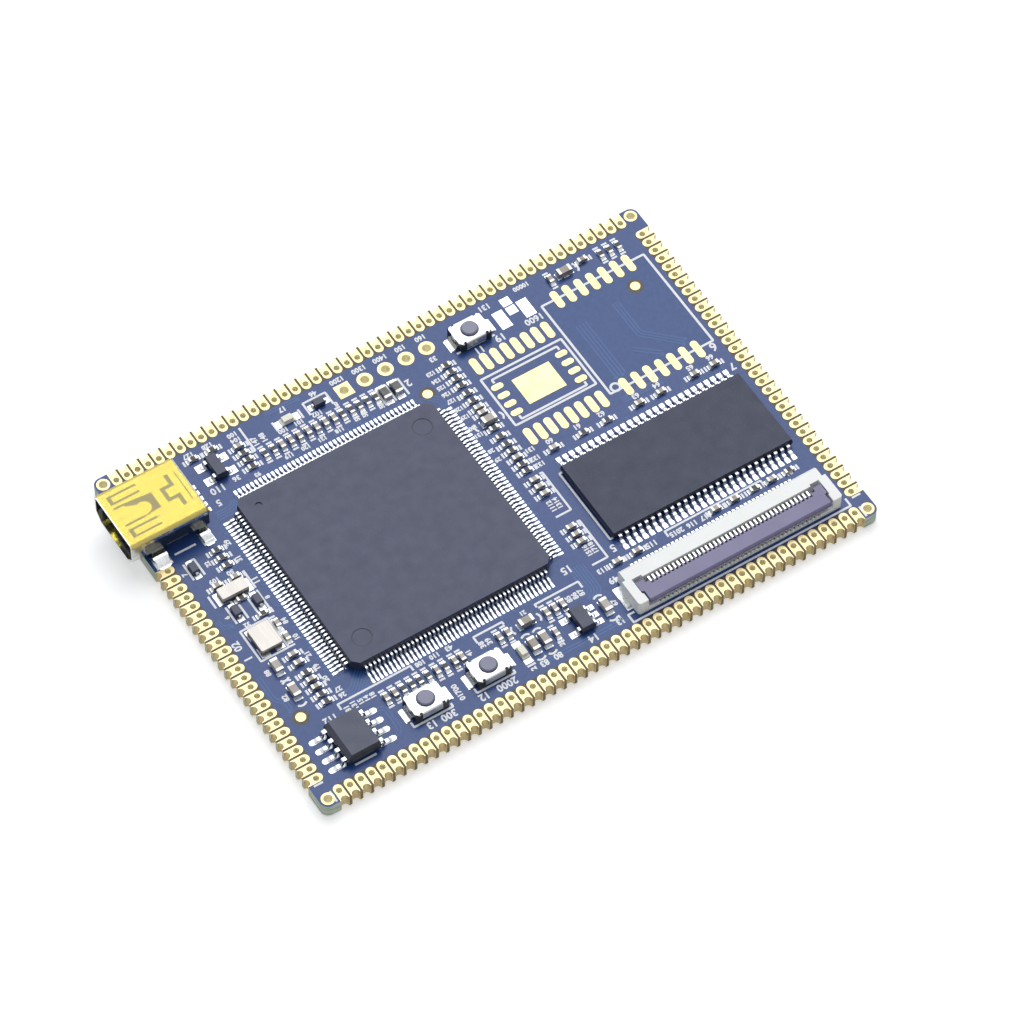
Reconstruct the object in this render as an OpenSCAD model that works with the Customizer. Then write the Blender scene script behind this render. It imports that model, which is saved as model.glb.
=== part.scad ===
// Microcontroller core board with castellated edges.
// The origin is the centre of the board's underside, +X along its length, +Z up.

/* [Board] */
// Length of the board
board_length = 67; // [66:0.5:90]
// Width of the board
board_width = 46.6; // [46:0.2:60]
// Thickness of the laminate
board_thickness = 1.6; // [0.8:0.1:2.4]
// Radius of the board's corners
corner_radius = 0.9; // [0.5:0.1:1.2]
// Thickness of every copper land
land_height = 0.04; // [0.02:0.01:0.07]

/* [Edge contacts] */
// Distance between neighbouring contacts
contact_pitch = 1.27; // [1.27:0.01:2.54]
// Width of a contact's land
contact_width = 1.02; // [0.8:0.01:1.1]
// Distance from the board's edge to the contact's drilled hole
contact_inset = 1.18; // [1.1:0.01:1.3]
// How far the land goes past its hole, towards the middle of the board
contact_tail = 0.72; // [0.6:0.01:0.9]
// Diameter of the drilled hole
contact_hole = 0.66; // [0.5:0.01:0.7]
// Diameter of the half-hole in the board's edge
contact_notch = 0.86; // [0.7:0.01:0.9]
// Wall of the plating in a hole
plating = 0.05; // [0.03:0.01:0.08]
// Bare length left at each end of the front and back rows
row_end_margin = 2.3; // [2:0.1:4]
// Bare length left at each end of the left and right rows
column_end_margin = 3.5; // [3:0.1:5]

/* [Corner and header holes] */
// Distance from the board's edges to a corner hole
corner_inset = 0.95; // [0.9:0.01:1.2]
// Diameter of a corner hole
corner_hole = 0.95; // [0.6:0.05:1]
// Diameter of the ring around a corner hole
corner_ring = 1.45; // [1.3:0.05:1.6]
// Number of header holes
header_count = 5; // [2:1:5]
// Distance between the header holes
header_pitch = 2.54; // [2.54:0.01:2.6]
// Diameter of a header hole
header_hole = 1; // [0.8:0.05:1.1]
// Diameter of the ring around a header hole
header_ring = 1.75; // [1.5:0.05:1.9]

/* [Main chip] */
// Side of the square moulded body
main_body = 24; // [20:0.5:24]
// Leads on each side
main_leads = 44; // [24:1:44]
// Distance between neighbouring leads
main_pitch = 0.5; // [0.4:0.1:0.5]
// Height of the moulded body
main_height = 1.4; // [1:0.1:1.8]

/* [Memory chip] */
// Length of the moulded body
memory_length = 22.22; // [18:0.01:24]
// Width of the moulded body
memory_width = 10.16; // [8:0.01:10.5]
// Leads on each long side
memory_leads = 27; // [16:1:27]
// Distance between neighbouring leads
memory_pitch = 0.8; // [0.65:0.05:0.8]

/* [USB socket] */
// Length of the shell from mouth to back
usb_length = 9.1; // [8.5:0.1:9.4]
// Width of the shell
usb_width = 7.7; // [7.2:0.1:7.9]
// Height of the shell above the board
usb_height = 3.9; // [3.6:0.1:4.6]
// How far the mouth overhangs the board's edge
usb_overhang = 1.65; // [0.8:0.05:2]
// Thickness of the shell's sheet
usb_sheet = 0.25; // [0.2:0.05:0.3]

/* [Flat cable connector] */
// Number of contacts
fpc_contacts_count = 40; // [20:1:40]
// Distance between neighbouring contacts
fpc_pitch = 0.5; // [0.4:0.1:0.5]
// Height of the housing
fpc_height = 2; // [1.8:0.1:2.4]
// How far the flip lever opens
lever_opening = 90; // [60:5:110]

/* [Push switches] */
// Length of the switch base
switch_length = 3.9; // [3.6:0.1:4.2]
// Width of the switch base
switch_width = 2.9; // [2.8:0.1:3.2]
// Height of the cover above the board
switch_height = 1.35; // [1.35:0.05:1.8]
// Diameter of the plunger
plunger_diameter = 1.8; // [1.4:0.1:2]
// Travel of the plunger
plunger_travel = 0.25; // [0.1:0.05:0.25]

/* [Hidden] */
$fn = 48;
gap = 0.1;
top_z = board_thickness;
seat_z = top_z + land_height;

// The eight-lead chip is a stock part: its leads stay 1.27 apart whatever the contact pitch is.
wide_pitch = 1.27;

// Places on the board, from its centre.
main_place = [-10.75, 0.6];
memory_place = [19.35, -6.6];
flash_place = [-26.93, -17.9];
regulator_place = [0.12, -18.25];
protector_place = [-21.7, 17.75];
usb_place = [-board_length / 2 - usb_overhang, 15.45];
fpc_place = [17.95, -16.1];
switch_places = [[-18.55, -18.25], [-11.1, -18.25], [9.55, 18.15]];
bar_crystal_place = [-28, 3.75];
square_crystal_place = [-28.2, -2.9];
header_place = [-5.27, 19.25];
fiducial_places = [[-29.9, -12.75], [1.85, 14.15], [27.9, 14.3]];

// Small parts, each [x, y, turn]. Turn 0 lies along X and turn 90 along Y.
diode_places = [[-30, 8.25, 90], [-28.97, 1.45, 90], [-26.42, 1.5, 90], [-8.45, 19.15, 0]];
bead_places = [[-2, 16.4, 90], [-0.6, 16.4, 90]];
led_places = [[-12.3, 19.1, 0], [-7, -18.2, 90]];
large_capacitor_places = [
    [-28.95, -6.5, 90],
    [-28.95, -9.95, 90],
    [-5.65, -18.2, 90],
    [-4.3, -18.2, 90],
    [3.1, -18.15, 90],
    [-4.8, -15.45, 0],
    [5.4, 7.75, 0],
    [22.4, 19.7, 0]
];
capacitor_places = [
    for (x = [-29.05, -26.9]) [x, 5.15, 0],
    for (y = [-2, -3.9]) [-26.2, y, 90],
    for (y = [-6.05, -7.2, -9.6, -10.6]) [-26.8, y, 0],
    for (x = [-21.5, -20.5, -15.5, -13.4, -12.5]) [x, -15.5, 90],
    for (x = [-8.05, -7.05]) [x, -15.5, 90],
    for (x = [-2.4, -1.4, -0.45]) [x, -15.55, 90],
    for (x = [-14.4:1.05:-8]) [x, 16.65, 90],
    for (y = [9.75, 8.95, 2.25, -1.1, -2.1, -3.1, -8.05, -9.1, -10.1]) [5.35, y, 0],
    for (x = [9.25, 19.85, 22.55, 26.75, 29.25]) [x, 1.25, 0],
    for (x = [7.05, 9.5, 19.2, 21.5, 26.1]) [x, -14.15, 0],
    [-2.9, -18.1, 90],
    [-18.35, 18.9, 0],
    [24.9, 20.1, 0],
    [20.65, 19.7, 90]
];
resistor_places = [
    for (y = [9, 7.95, 6.9]) [-26.85, y, 0],
    for (y = [-8.6, -11.6, -12.6]) [-26.8, y, 0],
    for (x = [-19.5, -18.5, -17.55, -16.55, -14.5]) [x, -15.5, 90],
    for (x = [-16.45, -15.4, -7.05, -6, -5, -4, -3]) [x, 16.65, 90],
    for (y = [17.95, 17, 16]) [-18.35, y, 0],
    for (y = [16.15, 15.15, 14.15, 13.15, 11.95, 10.85, 6.7, 5.45, 4.3, 3.3, 1.3, 0.35]) [5.35, y, 0],
    for (x = [12.9, 15.85]) [x, 1.25, 0],
    for (x = [24, 28.3]) [x, -14.15, 0],
    for (x = [27, 28.1, 29.2]) [x, 19.7, 90],
    for (x = [-23.15, -20.9]) [x, 20.05, 0],
    [-27.7, 2.6, 0],
    [-26.77, -0.15, 0]
];

// Bare footprints: [centre x, first column, pitch, count, lower row y, upper row y].
sensor_centre = [12.5, 9.15];
module_centre = [24.45, 10.55];

// Rows of contacts

// As many contacts as fit between the bare lengths at the row's two ends.
function row_count(span, margin) = floor((span - 2 * margin) / contact_pitch) + 1;
function row_offsets(count) = [for (i = [0:count - 1]) (i - (count - 1) / 2) * contact_pitch];

long_row = row_offsets(row_count(board_length, row_end_margin));
short_row = row_offsets(row_count(board_width, column_end_margin));
usb_side_room = 5.3;
left_row = [for (y = short_row) if (y < usb_place[1] - usb_side_room) y];

// Places a child made for the front edge on one of the four edges.
module on_edge(side) {
    turn = [0, 180, -90, 90][side];
    reach = side < 2 ? board_width / 2 : board_length / 2;
    rotate([0, 0, turn])
        translate([0, -reach, 0])
            children();
}

module on_row(side, offsets) {
    flip = side == 0 || side == 3 ? 1 : -1;
    on_edge(side)
        for (s = offsets)
            translate([s * flip, 0, 0])
                children();
}

module on_all_rows() {
    on_row(0, long_row) children();
    on_row(1, long_row) children();
    on_row(2, left_row) children();
    on_row(3, short_row) children();
}

module on_corners() {
    for (x = [-1, 1])
        for (y = [-1, 1])
            translate([x * (board_length / 2 - corner_inset), y * (board_width / 2 - corner_inset), 0])
                children();
}

module on_header() {
    for (i = [0:header_count - 1])
        translate([header_place[0] + i * header_pitch, header_place[1], 0])
            children();
}

// The first header hole has a square land and the others have round ones.
module on_header_lands() {
    for (i = [0:header_count - 1])
        translate([header_place[0] + i * header_pitch, header_place[1]])
            if (i == 0)
                square(header_ring, center = true);
            else
                circle(d = header_ring);
}

// Board

module rounded_rectangle(length, width, radius) {
    square([length - 2 * radius, width], center = true);
    square([length, width - 2 * radius], center = true);
    for (x = [-1, 1])
        for (y = [-1, 1])
            translate([x * (length / 2 - radius), y * (width / 2 - radius)])
                circle(radius);
}

module contact_land() {
    straight = contact_inset + contact_tail - contact_width / 2;
    translate([-contact_width / 2, 0])
        square([contact_width, straight]);
    translate([0, straight])
        circle(d = contact_width);
}

// The half-hole in the edge is wider than the round hole; wall is the plating's thickness or nothing.
module contact_drillings(wall) {
    circle(d = contact_notch + 2 * wall);
    translate([0, contact_inset])
        circle(d = contact_hole + 2 * wall);
}

usb_peg = 0.9;
usb_peg_places = [for (side = [-1, 1]) [6.3, side * 2.2]];

module board_drillings() {
    on_all_rows() contact_drillings(plating);
    on_corners() circle(d = corner_hole + 2 * plating);
    on_header() circle(d = header_hole + 2 * plating);
    for (p = usb_peg_places)
        translate(usb_place + p)
            circle(d = usb_peg + gap);
}

// The underside is pocketed for the contacts' lower lands, which lie flush with it.
module board_laminate() {
    color("#5566a0") {
        linear_extrude(land_height)
            difference() {
                rounded_rectangle(board_length, board_width, corner_radius);
                board_drillings();
                on_all_rows() contact_land();
                on_corners() circle(d = corner_ring);
                on_header_lands();
            }
        translate([0, 0, land_height])
            linear_extrude(board_thickness - land_height)
                difference() {
                    rounded_rectangle(board_length, board_width, corner_radius);
                    board_drillings();
                }
    }
}

// A land on each face, joined by the plating of the hole and of the half-hole.
module edge_contact() {
    difference() {
        union() {
            linear_extrude(land_height)
                contact_land();
            translate([0, 0, top_z])
                linear_extrude(land_height)
                    contact_land();
            linear_extrude(seat_z)
                intersection() {
                    contact_drillings(plating);
                    translate([-contact_width, 0])
                        square([2 * contact_width, 2 * contact_inset]);
                }
        }
        translate([0, 0, -gap])
            linear_extrude(seat_z + 2 * gap)
                contact_drillings(0);
    }
}

module edge_contacts_front() {
    color("#f3e6b0") on_row(0, long_row) edge_contact();
}

module edge_contacts_back() {
    color("#f3e6b0") on_row(1, long_row) edge_contact();
}

module edge_contacts_left() {
    color("#f3e6b0") on_row(2, left_row) edge_contact();
}

module edge_contacts_right() {
    color("#f3e6b0") on_row(3, short_row) edge_contact();
}

// Its first child is the land of both faces, its second the plated barrel and its third the hole.
module plated_holes() {
    difference() {
        union() {
            for (z = [0, top_z])
                translate([0, 0, z])
                    linear_extrude(land_height)
                        children(0);
            linear_extrude(seat_z)
                children(1);
        }
        translate([0, 0, -gap])
            linear_extrude(seat_z + 2 * gap)
                children(2);
    }
}

module corner_hole_rings() {
    color("#f3e6b0")
        plated_holes() {
            on_corners() circle(d = corner_ring);
            on_corners() circle(d = corner_hole + 2 * plating);
            on_corners() circle(d = corner_hole);
        }
}

module header_hole_rings() {
    color("#f3e6b0")
        plated_holes() {
            on_header_lands();
            on_header() circle(d = header_hole + 2 * plating);
            on_header() circle(d = header_hole);
        }
}

fiducial_diameter = 1.1;

module fiducial_dots() {
    color("#f3e6b0")
        for (p = fiducial_places)
            translate([p[0], p[1], top_z])
                cylinder(d = fiducial_diameter, h = land_height);
}

// Lands

module land(length, width) {
    translate([-length / 2, -width / 2, top_z])
        cube([length, width, land_height]);
}

module oval_land(length, width) {
    translate([0, 0, top_z])
        linear_extrude(land_height) {
            square([width, length - width], center = true);
            for (y = [-1, 1])
                translate([0, y * (length - width) / 2])
                    circle(d = width);
        }
}

module land_row(count, pitch, length, width) {
    for (i = [0:count - 1])
        translate([(i - (count - 1) / 2) * pitch, 0, 0])
            oval_land(length, width);
}

sensor_pad = [4.6, 3.6];
sensor_row_reach = 5.28;
sensor_side_reach = 3.98;
module_row_reach = 6.68;

module bare_footprint_lands() {
    color("#f3e6b0") {
        translate(sensor_centre) {
            land(sensor_pad[0], sensor_pad[1]);
            for (side = [-1, 1]) {
                translate([0, side * sensor_row_reach, 0])
                    land_row(8, wide_pitch, 2.3, 0.86);
                translate([side * sensor_side_reach, 0, 0])
                    rotate([0, 0, 90])
                        land_row(4, wide_pitch, 1.4, 0.72);
            }
        }
        translate(module_centre)
            for (side = [-1, 1])
                translate([0, side * module_row_reach, 0])
                    land_row(7, 1.5, 2.4, 0.84);
    }
}

main_land = [1.55, 0.28];
main_land_reach = main_body / 2 + 1.05;
memory_land = [1.45, 0.5];
memory_land_reach = memory_width / 2 + 0.88;
flash_land = [2, 0.62];
flash_land_reach = 2.93;
usb_foot_places = [[2.95, 1.9], [8.3, 1.4]];
usb_foot_reach = 4.45;

// Runs its child along one side of a chip, and turns it for the other sides.
module lead_row(count, pitch, reach, side) {
    rotate([0, 0, side])
        for (i = [0:count - 1])
            translate([reach, (i - (count - 1) / 2) * pitch, 0])
                children();
}

module pair_of_lands(spread, length, width) {
    for (side = [-1, 1])
        translate([side * spread, 0, 0])
            land(length, width);
}

module placed(places) {
    for (p = places)
        translate([p[0], p[1], 0])
            rotate([0, 0, p[2]])
                children();
}

small_spread = 0.52;
large_spread = 0.95;
diode_spread = 0.92;
bar_crystal_spread = 1.4;

module solder_lands() {
    color("#f4f5f7") {
        translate(main_place)
            for (side = [0:90:270])
                lead_row(main_leads, main_pitch, main_land_reach, side)
                    land(main_land[0], main_land[1]);
        translate(memory_place)
            for (side = [90, 270])
                lead_row(memory_leads, memory_pitch, memory_land_reach, side)
                    land(memory_land[0], memory_land[1]);
        translate(flash_place)
            for (side = [0, 180])
                lead_row(4, wide_pitch, flash_land_reach, side)
                    rotate(90) oval_land(flash_land[0], flash_land[1]);
        translate(regulator_place) {
            lead_row(3, 0.95, 1.45, 0) land(1.05, 0.6);
            lead_row(2, 1.9, 1.45, 180) land(1.05, 0.7);
        }
        translate(protector_place)
            for (side = [0, 180])
                lead_row(2, 1.9, 1.3, side)
                    land(1.1, 0.95);
        translate(usb_place) {
            for (foot = usb_foot_places)
                for (side = [-1, 1])
                    translate([foot[0], side * usb_foot_reach, 0])
                        land(foot[1], 1.7);
            lead_row(5, 0.8, usb_length + 0.8, 0)
                land(1.2, 0.5);
        }
        translate(fpc_place) {
            lead_row(fpc_contacts_count, fpc_pitch, 0.5, 90)
                land(1.1, 0.28);
            for (side = [-1, 1])
                translate([side * fpc_tab_reach, -2.1, 0])
                    land(fpc_tab[0], 3);
        }
        for (p = switch_places)
            translate(p)
                pair_of_lands(2.35, 0.9, 1.65);
        translate(bar_crystal_place)
            pair_of_lands(bar_crystal_spread, 1.3, 1.6);
        translate(square_crystal_place)
            for (y = [-1, 1])
                translate([0, y * 1.2, 0])
                    pair_of_lands(0.85, 1, 1.3);
        placed(diode_places) pair_of_lands(diode_spread, 0.6, 0.7);
        placed(bead_places) pair_of_lands(large_spread, 0.7, 0.9);
        placed(led_places) pair_of_lands(1.05, 0.75, 0.9);
        placed(large_capacitor_places) pair_of_lands(large_spread, 0.85, 0.9);
        placed(capacitor_places) pair_of_lands(small_spread, 0.55, 0.55);
        placed(resistor_places) pair_of_lands(small_spread, 0.55, 0.55);
        translate([13.6, 18.1, 0]) land(1.25, 2.35);
        translate([16.6, 18.1, 0]) land(1.25, 2.35);
        translate([15.15, 19.9, 0]) land(1.1, 1.05);
        translate([15.15, 18.65, 0]) land(1.1, 1.05);
    }
}

// Chip packages

// A moulded block whose four sides slope both ways from the parting line.
module moulded_body(length, width, low, high, draft, corner = 0) {
    middle = (low + high) / 2;
    translate([0, 0, seat_z])
        intersection() {
            rotate([90, 0, 0])
                translate([0, 0, -width])
                    linear_extrude(2 * width)
                        moulded_profile(length, low, high, middle, draft);
            rotate([90, 0, 90])
                translate([0, 0, -length])
                    linear_extrude(2 * length)
                        moulded_profile(width, low, high, middle, draft);
            linear_extrude(high)
                chamfered_square(length, width, corner);
        }
}

module moulded_profile(size, low, high, middle, draft) {
    half = size / 2;
    polygon([
        [-half + draft, low],
        [half - draft, low],
        [half, middle],
        [half - draft, high],
        [-half + draft, high],
        [-half, middle]
    ]);
}

module chamfered_square(length, width, cut) {
    x = length / 2;
    y = width / 2;
    if (cut > 0)
        polygon([
            [cut - x, -y], [x - cut, -y], [x, cut - y], [x, y - cut],
            [x - cut, y], [cut - x, y], [-x, y - cut], [-x, cut - y]
        ]);
    else
        square([length, width], center = true);
}

// A gull-wing lead: out of the body at +X, down, and out along the board. Zero is the body's side.
module gull_lead(reach, shoulder, height, thickness, width) {
    bend = shoulder + thickness;
    translate([0, width / 2, seat_z])
        rotate([90, 0, 0])
            linear_extrude(width)
                polygon([
                    [0, height],
                    [shoulder, height],
                    [shoulder + thickness / 2, thickness],
                    [bend + thickness / 4, 0],
                    [reach, 0],
                    [reach, thickness],
                    [bend + thickness, thickness],
                    [bend, height + thickness / 2],
                    [bend - thickness / 2, height + thickness],
                    [0, height + thickness]
                ]);
}

main_low = 0.1;
main_corner = 0.9;
main_dimple = [-10, 10.05];
main_ejectors = [[-9.45, -9.35], [9.4, 9.4]];

module main_chip_body() {
    color("#5c6070")
        translate(main_place)
            difference() {
                moulded_body(main_body, main_body, main_low, main_low + main_height, 0.12, main_corner);
                translate([main_dimple[0], main_dimple[1], seat_z + main_low + main_height - 0.12])
                    cylinder(d = 0.8, h = 1);
                for (p = main_ejectors)
                    translate([p[0], p[1], seat_z + main_low + main_height - 0.04])
                        cylinder(d = 2.1, h = 1);
            }
}

module main_chip_leads() {
    color("#d9dce2")
        translate(main_place)
            for (side = [0:90:270])
                lead_row(main_leads, main_pitch, main_body / 2, side)
                    gull_lead(1, 0.3, main_low + main_height / 2 - 0.07, 0.14, 0.22);
}

memory_low = 0.1;
memory_height = 1;

module memory_chip_body() {
    color("#55596a")
        translate(memory_place)
            moulded_body(memory_length, memory_width, memory_low, memory_low + memory_height, 0.1);
}

module memory_chip_leads() {
    color("#d9dce2")
        translate(memory_place)
            for (side = [90, 270])
                lead_row(memory_leads, memory_pitch, memory_width / 2, side)
                    gull_lead(0.8, 0.2, memory_low + memory_height / 2 - 0.07, 0.14, 0.35);
}

flash_width = 3.9;
flash_length = 4.9;
flash_low = 0.15;
flash_height = 1.5;

module flash_chip_body() {
    color("#3f3e44")
        translate(flash_place)
            difference() {
                moulded_body(flash_width, flash_length, flash_low, flash_low + flash_height, 0.15);
                translate([-flash_width / 2, -flash_length, seat_z + flash_low + flash_height])
                    rotate([0, 45, 0])
                        translate([-0.35, 0, -0.35])
                            cube([0.7, 2 * flash_length, 0.7]);
            }
}

module flash_chip_leads() {
    color("#d9dce2")
        translate(flash_place)
            for (side = [0, 180])
                lead_row(4, wide_pitch, flash_width / 2, side)
                    gull_lead(1.1, 0.3, flash_low + flash_height / 2 - 0.1, 0.2, 0.42);
}

small_low = 0.1;
small_height = 1;

module regulator_body() {
    color("#3f3e44")
        translate(regulator_place)
            moulded_body(1.6, 2.9, small_low, small_low + small_height, 0.1);
}

module small_lead(width) {
    gull_lead(0.6, 0.15, small_low + small_height / 2 - 0.075, 0.15, width);
}

module regulator_leads() {
    color("#d9dce2")
        translate(regulator_place) {
            lead_row(3, 0.95, 0.8, 0) small_lead(0.4);
            lead_row(2, 1.9, 0.8, 180) small_lead(0.4);
        }
}

module protector_body() {
    color("#3f3e44")
        translate(protector_place)
            moulded_body(1.3, 2.9, small_low, small_low + small_height, 0.1);
}

module protector_leads() {
    color("#d9dce2")
        translate(protector_place)
            for (side = [0, 180])
                lead_row(2, 1.9, 0.65, side)
                    small_lead(0.45);
}

// USB socket, drawn from the middle of its mouth, with +X going in.

usb_round = 0.5;
usb_tail_room = 1.1;
usb_waist = 1.3;
usb_floor = 0.2;
usb_taper = 0.9;

// Cross-section of the socket, drawn inwards by inset. X is across the board, Y is up.
module usb_section(inset) {
    half = usb_width / 2 - inset;
    top = usb_height - inset;
    low = usb_floor + inset;
    waist = usb_waist + inset / 2;
    radius = usb_round - inset;
    polygon([
        [-half, waist],
        [-half + usb_taper, low],
        [half - usb_taper, low],
        [half, waist],
        [half, top - radius],
        [half - radius, top - radius],
        [half - radius, top],
        [radius - half, top],
        [radius - half, top - radius],
        [-half, top - radius]
    ]);
    for (side = [-1, 1])
        translate([side * (half - radius), top - radius])
            circle(radius);
}

module usb_along(from, length) {
    translate([from, 0, top_z])
        rotate([90, 0, 90])
            linear_extrude(length)
                children();
}

finger_slot = 0.24;
spring_reach = 3.4;
slot_start = 0.85;
tongue_round = 0.8;
tongue_middle = [3.6, -0.2];
crease_width = 0.12;
cut_width = 0.45;

// A stamped slot in the roof, from one point to another along X or Y.
module roof_slot(x, y, length, width) {
    translate([x, y, top_z + usb_height - 2 * usb_sheet])
        cube([length, width, 4 * usb_sheet]);
}

// The opening past the middle tongue's rounded end.
module tongue_opening() {
    translate([0, 0, top_z + usb_height - 2 * usb_sheet])
        linear_extrude(4 * usb_sheet)
            difference() {
                polygon([[1.9, 1.37], [4.6, 1.1], [5.15, 1.05], [5.15, -1.05], [3.7, -1.1], [1.9, 1.13]]);
                polygon([[1.8, 1.05], [3.1, 0.5], [3.6, -1.2], [1.8, -1.2]]);
                translate(tongue_middle)
                    circle(tongue_round);
            }
}

module usb_roof_slots() {
    for (side = [-1, 1]) {
        outer = side * 2.78;
        inner = side * 1.87;
        roof_slot(slot_start, outer - finger_slot / 2, spring_reach, finger_slot);
        roof_slot(slot_start, inner - finger_slot / 2, spring_reach, finger_slot);
        roof_slot(slot_start, min(outer, inner), cut_width, abs(outer - inner));
    }
    roof_slot(slot_start, 1.25 - finger_slot / 2, 1.2, finger_slot);
    roof_slot(slot_start, -1.15 - finger_slot / 2, 2.3, finger_slot);
    roof_slot(slot_start, -1.15 - crease_width / 2, 3, crease_width);
    tongue_opening();
    roof_slot(6.05, -0.95, cut_width, 1.9);
    roof_slot(6.05, 0.55, 1.6, cut_width - 0.05);
    roof_slot(7.2, 0.55, cut_width, 1.6);
    roof_slot(6.05, -0.95, 1.6, cut_width - 0.05);
    roof_slot(7.2, -2.1, cut_width, 1.6);
    roof_slot(8.34, -1.95, crease_width, 3.9);
}

usb_foot_length = 1.25;
usb_foot_bend = 0.2;

// A leg that runs on down from the side wall and bends out onto its land.
module usb_foot(width) {
    wall = usb_width / 2;
    outer = usb_foot_bend + usb_sheet;
    for (side = [0, 1])
        mirror([0, side, 0])
            translate([-width / 2, 0, seat_z])
                rotate([90, 0, 90])
                    linear_extrude(width) {
                        translate([wall - usb_sheet, outer])
                            square([usb_sheet, usb_waist + usb_sheet - outer]);
                        translate([wall + usb_foot_bend, 0])
                            square([usb_foot_length - usb_foot_bend, usb_sheet]);
                        intersection() {
                            translate([wall + usb_foot_bend, outer])
                                difference() {
                                    circle(outer);
                                    circle(usb_foot_bend);
                                }
                            translate([wall - usb_sheet, 0])
                                square([outer, outer]);
                        }
                    }
}

module usb_shell() {
    color("#d4d6d8")
        translate(usb_place) {
            difference() {
                usb_along(0, usb_length)
                    usb_section(0);
                usb_along(-gap, usb_length - usb_sheet + gap)
                    usb_section(usb_sheet);
                translate([usb_length - usb_tail_room, -usb_width / 2 + usb_sheet, 0])
                    cube([usb_length, usb_width - 2 * usb_sheet, top_z + usb_waist]);
                usb_roof_slots();
                for (p = usb_peg_places)
                    translate([p[0], p[1], 0])
                        cylinder(d = usb_peg + gap, h = top_z + usb_waist);
            }
            for (foot = usb_foot_places)
                translate([foot[0], 0, 0])
                    usb_foot(foot[1] - 0.4);
        }
}

usb_block_start = 6.2;
usb_tongue = [5.2, 3.9, 0.8];
usb_tongue_z = 2.1;
usb_contact = [0.35, 0.15];

module usb_insulator() {
    clear = usb_sheet + 0.02;
    color("#2a2b2e")
        translate(usb_place)
            difference() {
                union() {
                    usb_along(usb_block_start, usb_length - usb_sheet - usb_block_start)
                        usb_section(clear);
                    translate([1, -usb_tongue[1] / 2, top_z + usb_tongue_z])
                        cube([usb_tongue[0] + gap, usb_tongue[1], usb_tongue[2]]);
                    for (p = usb_peg_places)
                        translate([p[0], p[1], top_z - 1.2])
                            cylinder(d = usb_peg, h = 1.3 + clear + usb_floor);
                }
                lead_row(5, 0.8, 0, 0)
                    usb_contact_profile(usb_contact[0]);
            }
}

// One contact: under the tongue, back through the block, down and out onto its land.
module usb_contact_profile(width) {
    thick = usb_contact[1];
    beam = usb_tongue_z - thick;
    back = usb_length - 0.9;
    translate([0, width / 2, top_z])
        rotate([90, 0, 0])
            linear_extrude(width)
                polygon([
                    [1.3, beam],
                    [back, beam],
                    [back, land_height],
                    [usb_length + 1.2, land_height],
                    [usb_length + 1.2, land_height + thick],
                    [back + thick, land_height + thick],
                    [back + thick, beam + thick],
                    [1.3, beam + thick]
                ]);
}

module usb_contacts() {
    color("#e3c878")
        translate(usb_place)
            lead_row(5, 0.8, 0, 0)
                usb_contact_profile(usb_contact[0]);
}

film_thickness = 0.05;
film_wrap = 0.3;
film_glue = 0.01;
film_margin = [0.08, 0.15];

// Stretched over the roof, and wrapped a little way down over its two rounded edges.
module usb_film() {
    color([0.98, 0.9, 0.35, 0.6])
        translate(usb_place)
            usb_along(film_margin[0], usb_length - film_margin[0] - film_margin[1])
                intersection() {
                    difference() {
                        usb_section(-film_glue - film_thickness);
                        usb_section(-film_glue);
                    }
                    translate([-usb_width, usb_height - film_wrap])
                        square([2 * usb_width, usb_height]);
                }
}

// Flat cable connector, drawn from the middle of its back edge, with the mouth towards -Y.

fpc_span = (fpc_contacts_count - 1) * fpc_pitch;
fpc_inner = fpc_span / 2 + 1.75;
fpc_wall = 1;
fpc_half = fpc_inner + fpc_wall;
fpc_bar_half = fpc_half - 0.4;
fpc_front = 4.65;
fpc_bar = 1.9;
fpc_bar_relief = 0.25;
fpc_ear = 0.95;
fpc_floor = 0.5;
fpc_wall_step = 0.15;
fpc_slot = 0.24;
fpc_slot_top = fpc_height - 0.25;
fpc_contact_width = 0.2;
fpc_contact_tip = 2.65;
fpc_arm_low = 1.4;
fpc_arm_top = 1.7;
fpc_tab = [1.4, 0.2];
fpc_tab_place = 2.6;
fpc_tab_reach = fpc_half + 0.65 - fpc_tab[0] / 2;
lever_axis = [-2.55, 1.5];
lever_pin = 0.6;
pin_clearance = 0.05;
pin_length = 0.3;
lever_half = fpc_inner - 0.1;
lever_back = -2.6;
lever_ear_back = -2.15;
lever_front = -4.7;
lever_low = 1.15;
lever_top = fpc_height - 0.1;
lever_window = 0.3;
lever_window_depth = 0.4;

module on_fpc_contacts() {
    for (i = [0:fpc_contacts_count - 1])
        translate([(i - (fpc_contacts_count - 1) / 2) * fpc_pitch, 0, 0])
            children();
}

// Extrudes a side profile, drawn in Y and Z, across the connector or across one width of it.
module fpc_across(half) {
    translate([-half, 0, top_z])
        rotate([90, 0, 90])
            linear_extrude(2 * half)
                children();
}

module fpc_block(x0, x1, y0, y1, z0, z1) {
    translate([x0, y0, top_z + z0])
        cube([x1 - x0, y1 - y0, z1 - z0]);
}

// The raised back of the housing, with its top back edge bevelled.
module fpc_bar_profile(front) {
    bevel = 0.3;
    polygon([
        [0, land_height],
        [0, fpc_height - bevel],
        [-bevel, fpc_height],
        [-front, fpc_height],
        [-front, land_height]
    ]);
}

// The floor that the cable slides in over, with a bevelled front lip.
module fpc_floor_profile() {
    bevel = 0.12;
    polygon([
        [0, land_height],
        [0, fpc_floor],
        [bevel - fpc_front, fpc_floor],
        [-fpc_front, fpc_floor - bevel],
        [-fpc_front, land_height]
    ]);
}

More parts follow.
